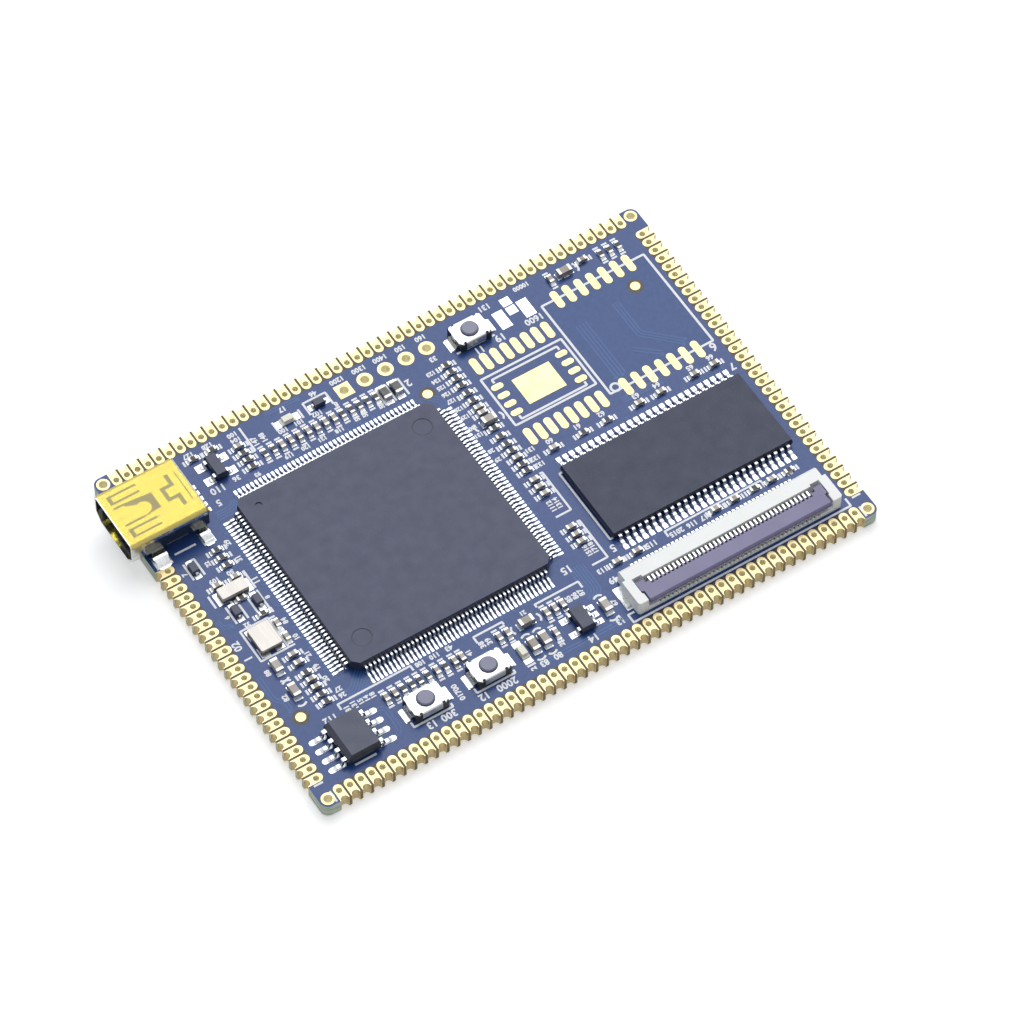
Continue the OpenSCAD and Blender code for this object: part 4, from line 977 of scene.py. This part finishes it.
# Plain numbers beside the parts: a middle in millimetres, the number and the digits' height.
# They read from the back edge, or upwards along the board's width.
UPSIDE_DOWN_LABELS = (
    (-25.0, -11.9, "27", 0.55), (-25.0, -12.7, "26", 0.55), (-27.5, -14.5, "112", 0.75),
    (-16.4, -13.7, "108", 0.55), (-14.7, -13.7, "110", 0.55), (-19.2, -20.5, "13", 0.85),
    (-17.2, -20.5, "300", 0.85), (-13.0, -13.7, "43", 0.6), (-4.4, -14.15, "21", 0.5),
    (-13.0, -20.5, "12", 0.85), (-10.3, -20.5, "2000", 0.85), (-5.75, -20.4, "83", 0.7),
    (-4.1, -20.4, "80", 0.7), (0.1, -20.5, "14", 0.85), (3.5, -20.3, "13", 0.7),
    (2.2, -12.1, "15", 0.9), (7.7, -12.4, "5", 0.9), (5.3, -14.1, "113", 0.6),
    (5.6, -15.7, "49", 0.75), (-28.9, 6.0, "109", 0.55), (-27.0, 6.0, "50", 0.55),
    (-28.8, -0.35, "32", 0.5), (-23.3, 20.8, "127", 0.6), (-21.0, 20.8, "128", 0.6),
    (-18.1, 20.65, "100", 0.55), (-18.1, 19.9, "104", 0.55), (-12.0, 20.65, "17", 0.6),
    (-8.3, 20.65, "46", 0.6), (-5.3, 20.75, "1200", 0.6), (-2.6, 20.75, "1300", 0.6),
    (0.0, 20.75, "1400", 0.6), (2.5, 20.75, "150", 0.6), (5.0, 20.75, "160", 0.6),
    (-13.3, 18.3, "100", 0.55), (-11.4, 18.3, "101", 0.55), (-9.2, 18.25, "102", 0.6),
    (-6.9, 18.2, "8", 0.6), (-22.8, 15.55, "110", 0.85), (-20.5, 15.7, "36", 0.6),
    (-18.4, 14.95, "93", 0.5), (-23.6, 14.05, "5", 0.8), (-14.4, 15.2, "119", 0.5),
    (-12.4, 15.2, "120", 0.5), (-10.4, 15.2, "121", 0.5), (-8.3, 15.2, "118", 0.5),
    (0.9, 16.5, "2", 0.9), (4.7, 17.7, "33", 0.6), (3.5, 16.2, "123", 0.5),
    (3.5, 15.1, "124", 0.5), (3.5, 14.1, "125", 0.5), (3.5, 13.1, "126", 0.5),
    (3.5, 12.1, "127", 0.5), (3.6, 10.8, "128", 0.5), (3.6, 9.6, "129", 0.5),
    (3.6, 8.0, "130", 0.5), (3.6, 6.9, "131", 0.5), (3.6, 4.5, "28", 0.5),
    (3.6, 3.2, "29", 0.5), (9.5, 16.1, "11", 0.85), (12.2, 16.3, "19", 0.9),
    (12.8, 20.5, "131", 0.7), (16.5, 16.4, "1600", 0.8), (17.6, 20.75, "10000", 0.55),
    (22.4, 19.5, "71", 0.55), (7.1, 2.5, "131", 0.55), (7.0, 1.3, "132", 0.55),
    (7.0, 0.4, "133", 0.55), (9.4, 2.35, "60", 0.6), (12.8, 2.35, "61", 0.6),
    (15.8, 2.35, "62", 0.6), (20.1, 2.35, "63", 0.6), (22.7, 2.35, "64", 0.6),
    (26.9, 2.35, "65", 0.6), (29.4, 2.35, "66", 0.6), (30.5, 3.3, "6", 1.1),
    (30.8, 0.1, "7", 0.9), (8.4, -14.1, "114", 0.6), (11.3, -14.1, "115", 0.65),
    (14.3, -14.25, "2015", 0.6), (16.2, -14.25, "116", 0.6), (17.9, -14.25, "117", 0.6),
    (28.2, -14.3, "81", 0.6), (3.7, -19.9, "1", 0.7),
)
UPWARD_LABELS = (
    (-30.0, -10.0, "82", 0.6), (-25.4, -8.5, "19", 0.55), (-25.4, -10.2, "20", 0.55),
    (-25.4, -14.4, "81", 0.6), (-24.6, -14.4, "131", 0.55), (-23.8, -14.4, "15", 0.55),
    (-23.1, -14.4, "14", 0.55), (-22.4, -14.4, "18", 0.55), (-14.95, -18.7, "01700", 0.6),
    (-11.55, -15.3, "41", 0.55), (-9.9, -15.2, "38", 0.6), (-9.1, -15.2, "39", 0.6),
    (0.5, -15.25, "85", 0.6), (1.25, -15.25, "86", 0.6), (2.0, -15.25, "87", 0.6),
    (-7.0, -20.4, "2", 0.6), (-3.0, -19.3, "22", 0.55), (4.2, -18.1, "67", 0.55),
    (5.35, -11.3, "1516", 0.55), (6.05, -11.3, "1718", 0.55), (-31.05, 8.2, "7", 0.55),
    (-28.4, 8.1, "22", 0.5), (-25.35, 9.3, "29", 0.55), (-25.35, 7.0, "31", 0.55),
    (-25.25, 3.8, "11", 0.7), (-30.05, 1.4, "6", 0.5), (-25.3, 1.4, "8", 0.5),
    (-31.0, -2.1, "02", 0.85), (-30.75, -4.0, "1", 0.9), (-25.3, -2.0, "84", 0.55),
    (-25.3, -4.3, "10", 0.55), (-30.0, -6.5, "88", 0.55), (-25.4, -6.7, "21", 0.55),
    (-16.5, 18.6, "147", 0.6), (-15.5, 18.6, "148", 0.6), (-6.0, 15.5, "51", 0.55),
    (-5.05, 15.5, "52", 0.55), (-3.0, 15.5, "54", 0.55), (5.2, -4.7, "1112", 0.55),
    (5.95, -4.7, "1314", 0.55),
)
# How far each corner of a printed line is cut.
INK_CORNER = 0.06
WIDE_INK_CORNER = 0.1
WIDE_INK_WIDTH = 0.27
# A part longer than this counts as large. Past each end a small part has a bar and a large
# one an arc: its distance from the part's middle, half its length, and its bulge.
LARGE_PART = 1.2
SMALL_TICK = (1.05, 0.33, 0)
LARGE_ARC = (1.5, 0.5, 0.22)
# A printed circle: x, y and radius.
CIRCLE = (18.95, 4.4, 0.5)
# How much bolder than the font the numbers are, and the digits' share of a font's height.
BOLDER = 0.04
CAP_HEIGHT_SHARE = 0.72


class CORE_OT_print(bpy.types.Operator):
    """Printed outlines and marks"""
    bl_idname = "core_board.print"
    bl_label = "Printed marks"
    bl_options = {"REGISTER", "UNDO"}

    def ticks(self):
        """Two short bars past the ends of each small part, or two arcs for a large one."""
        for bodies in ("resistor_bodies", "capacitor_bodies"):
            for low, high in separate_boxes(bodies):
                size, middle = (high - low) / MM, (low + high) / 2 / MM
                along = 0 if size[0] > size[1] else 1
                large = max(size[:2]) > LARGE_PART
                reach, half, bulge = LARGE_ARC if large else SMALL_TICK
                for way in (-1, 1):
                    path = []
                    for step in ((-1, -0.5, 0, 0.5, 1) if large else (-1, 1)):
                        point = Vector(middle[:2])
                        point[along] += way * (reach + bulge * (1 - step * step))
                        point[1 - along] += half * step
                        path.append(point)
                    yield path

    def ring(self, x, y, radius, steps=20):
        """A circle as a closed path."""
        return [(x + radius * math.cos(math.tau * k / steps), y + radius * math.sin(math.tau * k / steps))
                for k in range(steps + 1)]

    def numbers(self, detail):
        """The plain numbers, as one mesh lying on the board."""
        written = []
        for labels, turn in ((UPSIDE_DOWN_LABELS, math.pi), (UPWARD_LABELS, math.pi / 2)):
            for x, y, number, height in labels:
                clear_selection()
                bpy.ops.object.text_add(location=(x * MM, y * MM, BOARD_TOP), rotation=(0, 0, turn))
                label = bpy.context.active_object
                label.data.body = number
                label.data.size = height * MM / CAP_HEIGHT_SHARE
                label.data.align_x, label.data.align_y = "CENTER", "CENTER"
                label.data.resolution_u = 2
                label.data.offset = BOLDER * MM
                label.data.extrude = detail.ink_height * MM
                written.append(label)
        clear_selection()
        for label in written:
            label.select_set(True)
        bpy.context.view_layer.objects.active = written[0]
        bpy.ops.object.convert(target="MESH")
        bpy.ops.object.join()
        bpy.ops.object.shade_flat()
        numbers = bpy.context.active_object
        numbers.name = "printed_numbers"
        return numbers

    def execute(self, context):
        detail = context.scene.board_detail
        ink = printed_ink(context.scene.board_finish)
        paths = [rounded(line, INK_CORNER, line[0] == line[-1]) for line in INK_LINES]
        paths += self.ticks()
        lines = draw_lines("printed_marks", paths, detail.ink_width, detail.ink_height)
        settle(lines, material=ink)
        paths = [rounded(line, WIDE_INK_CORNER, line[0] == line[-1]) for line in WIDE_INK_LINES]
        paths.append(self.ring(*CIRCLE))
        wide = draw_lines("printed_outlines", paths, WIDE_INK_WIDTH, detail.ink_height)
        settle(wide, material=ink)
        settle(self.numbers(detail), material=ink)
        return {"FINISHED"}


# Each bundle: a path in millimetres, how many tracks lie side by side, and their pitch.
TRACK_BUNDLES = (
    (((-21.5, -11.3), (-23.6, -13.4), (-24.4, -13.4)), 7, 0.3),
    (((-31.1, -6.5), (-31.1, -9.6), (-30.3, -10.4), (-30.3, -11.6)), 2, 0.35),
    (((-23.0, -16.1), (-22.2, -16.3), (-22.2, -19.2), (-22.9, -19.9)), 2, 0.35),
    (((3.2, -12.2), (3.2, -15.6), (2.5, -16.3)), 6, 0.32),
    (((-6.2, -20.35), (4.1, -20.35)), 2, 0.35),
    (((1.2, 14.2), (2.6, 12.8), (2.6, 11.9)), 3, 0.3),
    (((-24.6, 12.6), (-22.6, 12.6), (-22.0, 13.2)), 4, 0.32),
    (((24.9, 13.6), (24.9, 8.9), (28.3, 5.5)), 3, 0.35),
    (((20.3, 13.2), (20.3, 5.4)), 4, 0.4),
    (((23.1, 7.6), (25.6, 5.5)), 2, 0.4),
    (((-14.0, 21.0), (-10.0, 21.0)), 2, 0.3),
    (((18.6, 2.6), (23.4, 2.6)), 3, 0.3),
    (((-31.2, 1.5), (-30.9, 0.4), (-30.2, 0.4)), 2, 0.3),
)
TRACK_CORNER = 0.25
# The short tracks out of the lands: the shortest, and how much longer the next two are.
STUB_LENGTH = 0.75
STUB_STEP = 0.3
# The webs of mask between lands: the leads, the piece's name, the leads' pitch, the webs'
# width, and how far they reach inside and outside the leads' toes.
MASK_WEBS = (("main_chip_leads", "main_mask_webs", 0.5, 0.27, 0.75, 0.42),
             ("memory_chip_leads", "memory_mask_webs", 0.8, 0.4, 0.6, 0.3))
WEB_HEIGHT = 0.05
# The web over each end of a large capacitor: its distance from the middle, and half its length.
CAPACITOR_WEB_REACH = 1.22
CAPACITOR_WEB_HALF = 0.48
CAPACITOR_WEB_WIDTH = 0.42
# A covered via: its height, the rise of its pad and the depth of its dimple. The pad's slope,
# its flat and the dimple's slope take these shares of its radius.
VIA_HEIGHT = 0.02
VIA_RISE = 0.004
VIA_DIMPLE = 0.012
VIA_SHARES = (0.2, 0.3, 0.2)


class CORE_OT_tracks(bpy.types.Operator):
    """Copper tracks and vias that show through the mask"""
    bl_idname = "core_board.tracks"
    bl_label = "Tracks and vias"
    bl_options = {"REGISTER", "UNDO"}

    def model_via(self, detail):
        """A covered via: a low round pad with a dimple where the mask sank into the hole."""
        clear_selection()
        radius = detail.via_diameter * MM / 2
        bpy.ops.mesh.primitive_cylinder_add(vertices=12, radius=radius, depth=VIA_HEIGHT * MM)
        via = bpy.context.active_object
        for face in via.data.polygons:
            face.select = face.normal.z > 0.9
        for edge in via.data.edges:
            edge.select = False
        bpy.ops.object.mode_set(mode="EDIT")
        bpy.ops.mesh.select_mode(type="FACE")
        for share, depth in zip(VIA_SHARES, (VIA_RISE, 0, -VIA_DIMPLE)):
            bpy.ops.mesh.inset(thickness=radius * share, depth=depth * MM)
        bpy.ops.object.mode_set(mode="OBJECT")
        return via

    def web_paths(self, node, pitch, inside, outside):
        """The strips of solder mask between neighbouring lands, which cover the lands' edges."""
        for low, high, along, way in facing_out(node):
            toe = (high if way > 0 else low)[along] / MM
            for side in (-1, 1):
                inner = Vector((low + high)[:2] / 2 / MM)
                inner[1 - along] += side * pitch / 2
                outer = inner.copy()
                inner[along] = toe - way * inside
                outer[along] = toe + way * outside
                yield [inner, outer]

    def capacitor_web_paths(self):
        """The strip of solder mask over the outer end of each large capacitor's land."""
        for low, high in separate_boxes("capacitor_bodies"):
            size, middle = (high - low) / MM, (low + high) / 2 / MM
            if max(size[:2]) < LARGE_PART:
                continue
            along = 0 if size[0] > size[1] else 1
            for way in (-1, 1):
                path = [Vector(middle[:2]), Vector(middle[:2])]
                for side, point in zip((-1, 1), path):
                    point[along] += way * CAPACITOR_WEB_REACH
                    point[1 - along] += side * CAPACITOR_WEB_HALF
                yield path

    def lead_stubs(self, node, ends):
        """A short track out of each lead's land, every third one ending in a via."""
        for k, (low, high, along, way) in enumerate(facing_out(node)):
            start = Vector((low + high)[:2] / 2 / MM)
            start[along] = (high if way > 0 else low)[along] / MM
            end = start.copy()
            end[along] += way * (STUB_LENGTH + STUB_STEP * (k % 3))
            if k % 3 == 0:
                ends.append(end)
            yield [start, end]

    def execute(self, context):
        detail = context.scene.board_detail
        copper = masked_copper(context.scene.board_finish)
        paths, ends = [], []
        for path, count, pitch in TRACK_BUNDLES:
            for k in range(count):
                side = beside(path, (k - (count - 1) / 2) * pitch)
                paths.append(rounded(side, TRACK_CORNER))
                if k % 2 == 0:
                    ends.append(side[-1])
        for node in ("main_chip_leads", "memory_chip_leads"):
            paths += self.lead_stubs(node, ends)
        tracks = draw_lines("masked_tracks", paths, detail.track_width, detail.track_height)
        settle(tracks, material=copper)
        mask = bpy.data.materials["solder_mask_on_glass_laminate"]
        for node, name, pitch, width, inside, outside in MASK_WEBS:
            webs = draw_lines(name, self.web_paths(node, pitch, inside, outside), width, WEB_HEIGHT)
            settle(webs, material=mask)
        webs = draw_lines("capacitor_mask_webs", self.capacitor_web_paths(), CAPACITOR_WEB_WIDTH, WEB_HEIGHT)
        settle(webs, material=mask)
        places = [Matrix.Translation((x * MM, y * MM, BOARD_TOP)) for x, y in ends]
        vias = copies_of(self.model_via(detail), places, "masked_vias")
        settle(vias, material=copper)
        return {"FINISHED"}


# The fitted camera, in metres: its axes in the frame, and its place over the board's top.
CAMERA_RIGHT = (0.84407, -0.53623, 0.00246)
CAMERA_UP = (0.44346, 0.70061, 0.55901)
CAMERA_BACK = (-0.30148, -0.47075, 0.82916)
CAMERA_PLACE = (-0.16203, -0.25822, 0.44934 + BOARD_TOP)
# The lamps' places and sizes, the floor's size and how far it lies below the board, in metres.
KEY_LAMP = ((0.17, 0.27, 0.6), 0.6)
FILL_LAMP = ((-0.5, -0.45, 0.5), 0.5)
FLOOR_SIZE = 6
FLOOR_DROP = 0.0001
# The light that lifts the floor to white where the camera sees it.
FLOOR_LIFT = 0.42


class CORE_OT_studio(bpy.types.Operator):
    """Camera, lamps, world and floor"""
    bl_idname = "core_board.studio"
    bl_label = "Studio"
    bl_options = {"REGISTER", "UNDO"}

    def camera(self, scene, lens):
        """The photograph's view, from a point half a metre away."""
        eye = bpy.data.cameras.new("photo_camera")
        eye.lens, eye.sensor_width = lens, 36
        eye.clip_start, eye.clip_end = 0.01, 10
        camera = bpy.data.objects.new("photo_camera", eye)
        scene.collection.objects.link(camera)
        axes = Matrix((CAMERA_RIGHT, CAMERA_UP, CAMERA_BACK)).transposed()
        camera.matrix_world = Matrix.Translation(CAMERA_PLACE) @ axes.to_4x4()
        scene.camera = camera

    def lamp(self, scene, name, place, size, power):
        """A soft square lamp that faces the board."""
        light = bpy.data.lights.new(name, "AREA")
        light.shape, light.size, light.energy = "SQUARE", size, power
        lamp = bpy.data.objects.new(name, light)
        scene.collection.objects.link(lamp)
        lamp.location = place
        lamp.rotation_mode = "QUATERNION"
        lamp.rotation_quaternion = (-Vector(place)).to_track_quat("-Z", "Y")

    def seen_rays(self, owner):
        """1 for what the camera sees, straight on, mirrored or through glass, and 0 for light."""
        rays = add_node(owner, "ShaderNodeLightPath", {})
        kinds = ("Is Camera Ray", "Is Glossy Ray", "Is Transmission Ray")
        return any_of(owner, [rays.outputs[kind] for kind in kinds])

    def backdrop_world(self, scene, strength):
        """Even white all round, with a plain strength as light and 1 where it is seen."""
        world = bpy.data.worlds.new("white_backdrop")
        scene.world = world
        world.use_nodes = True
        nodes = world.node_tree.nodes
        sky = nodes["Background"]
        connect(world, sky, {"Color": linear("#F4F6FA"), "Strength": strength})
        seen = add_node(world, "ShaderNodeBackground", {"Color": linear("#FFFFFF"), "Strength": 1.0})
        mixed = add_node(world, "ShaderNodeMixShader", {0: self.seen_rays(world), 1: sky, 2: seen})
        connect(world, nodes["World Output"], {"Surface": mixed})

    def floor(self):
        """A white sheet. What the camera sees of it is lifted to white, and the shadow stays."""
        clear_selection()
        bpy.ops.mesh.primitive_plane_add(size=FLOOR_SIZE, location=(0, 0, -FLOOR_DROP))
        floor = bpy.context.active_object
        floor.name = "white_floor"
        material, surface, place = start_finish("white_paper_floor", roughness=0.9)
        connect(material, surface, {
            "Base Color": mottle(material, place, 30.0, linear("#E6E7E9"), linear("#EAEBED"))})
        lift = add_node(material, "ShaderNodeEmission", {"Color": linear("#FFFFFF"), "Strength": FLOOR_LIFT})
        nothing = add_node(material, "ShaderNodeEmission", {"Strength": 0.0})
        seen = add_node(material, "ShaderNodeMixShader", {0: self.seen_rays(material), 1: nothing, 2: lift})
        total = add_node(material, "ShaderNodeAddShader", {0: surface, 1: seen})
        connect(material, material.node_tree.nodes["Material Output"], {"Surface": total})
        floor.data.materials.append(material)

    def execute(self, context):
        scene, studio = context.scene, context.scene.studio
        self.camera(scene, studio.lens)
        self.lamp(scene, "key_lamp", *KEY_LAMP, studio.key_power)
        self.lamp(scene, "fill_lamp", *FILL_LAMP, studio.fill_power)
        self.backdrop_world(scene, studio.sky_strength)
        self.floor()
        scene.view_settings.view_transform = "Standard"
        return {"FINISHED"}


class CORE_PT_panel(bpy.types.Panel):
    """The steps that finish the board, in order"""
    bl_label = "Core Board"
    bl_idname = "CORE_PT_panel"
    bl_space_type = "VIEW_3D"
    bl_region_type = "UI"
    bl_category = "Core Board"

    def draw(self, context):
        column = self.layout.column()
        for step in STEPS:
            column.operator(step.bl_idname)
        for group in (context.scene.board_finish, context.scene.board_detail, context.scene.studio):
            for name in group.bl_rna.properties.keys():
                if name not in ("rna_type", "name"):
                    column.prop(group, name)


STEPS = (CORE_OT_laminate, CORE_OT_plating, CORE_OT_solder, CORE_OT_chips, CORE_OT_usb_socket,
         CORE_OT_cable_connector, CORE_OT_switches, CORE_OT_crystals, CORE_OT_small_parts, CORE_OT_print,
         CORE_OT_tracks, CORE_OT_studio)
SETTINGS = {"board_finish": BoardFinish, "board_detail": BoardDetail, "studio": StudioSettings}


def register():
    for name, group in SETTINGS.items():
        bpy.utils.register_class(group)
        setattr(bpy.types.Scene, name, bpy.props.PointerProperty(type=group))
    for step in (*STEPS, CORE_PT_panel):
        bpy.utils.register_class(step)


def unregister():
    for step in reversed((*STEPS, CORE_PT_panel)):
        bpy.utils.unregister_class(step)
    for name, group in SETTINGS.items():
        delattr(bpy.types.Scene, name)
        bpy.utils.unregister_class(group)


def main():
    register()
    for step in STEPS:
        group, name = step.bl_idname.split(".")
        getattr(getattr(bpy.ops, group), name)()


if __name__ == "__main__":
    main()
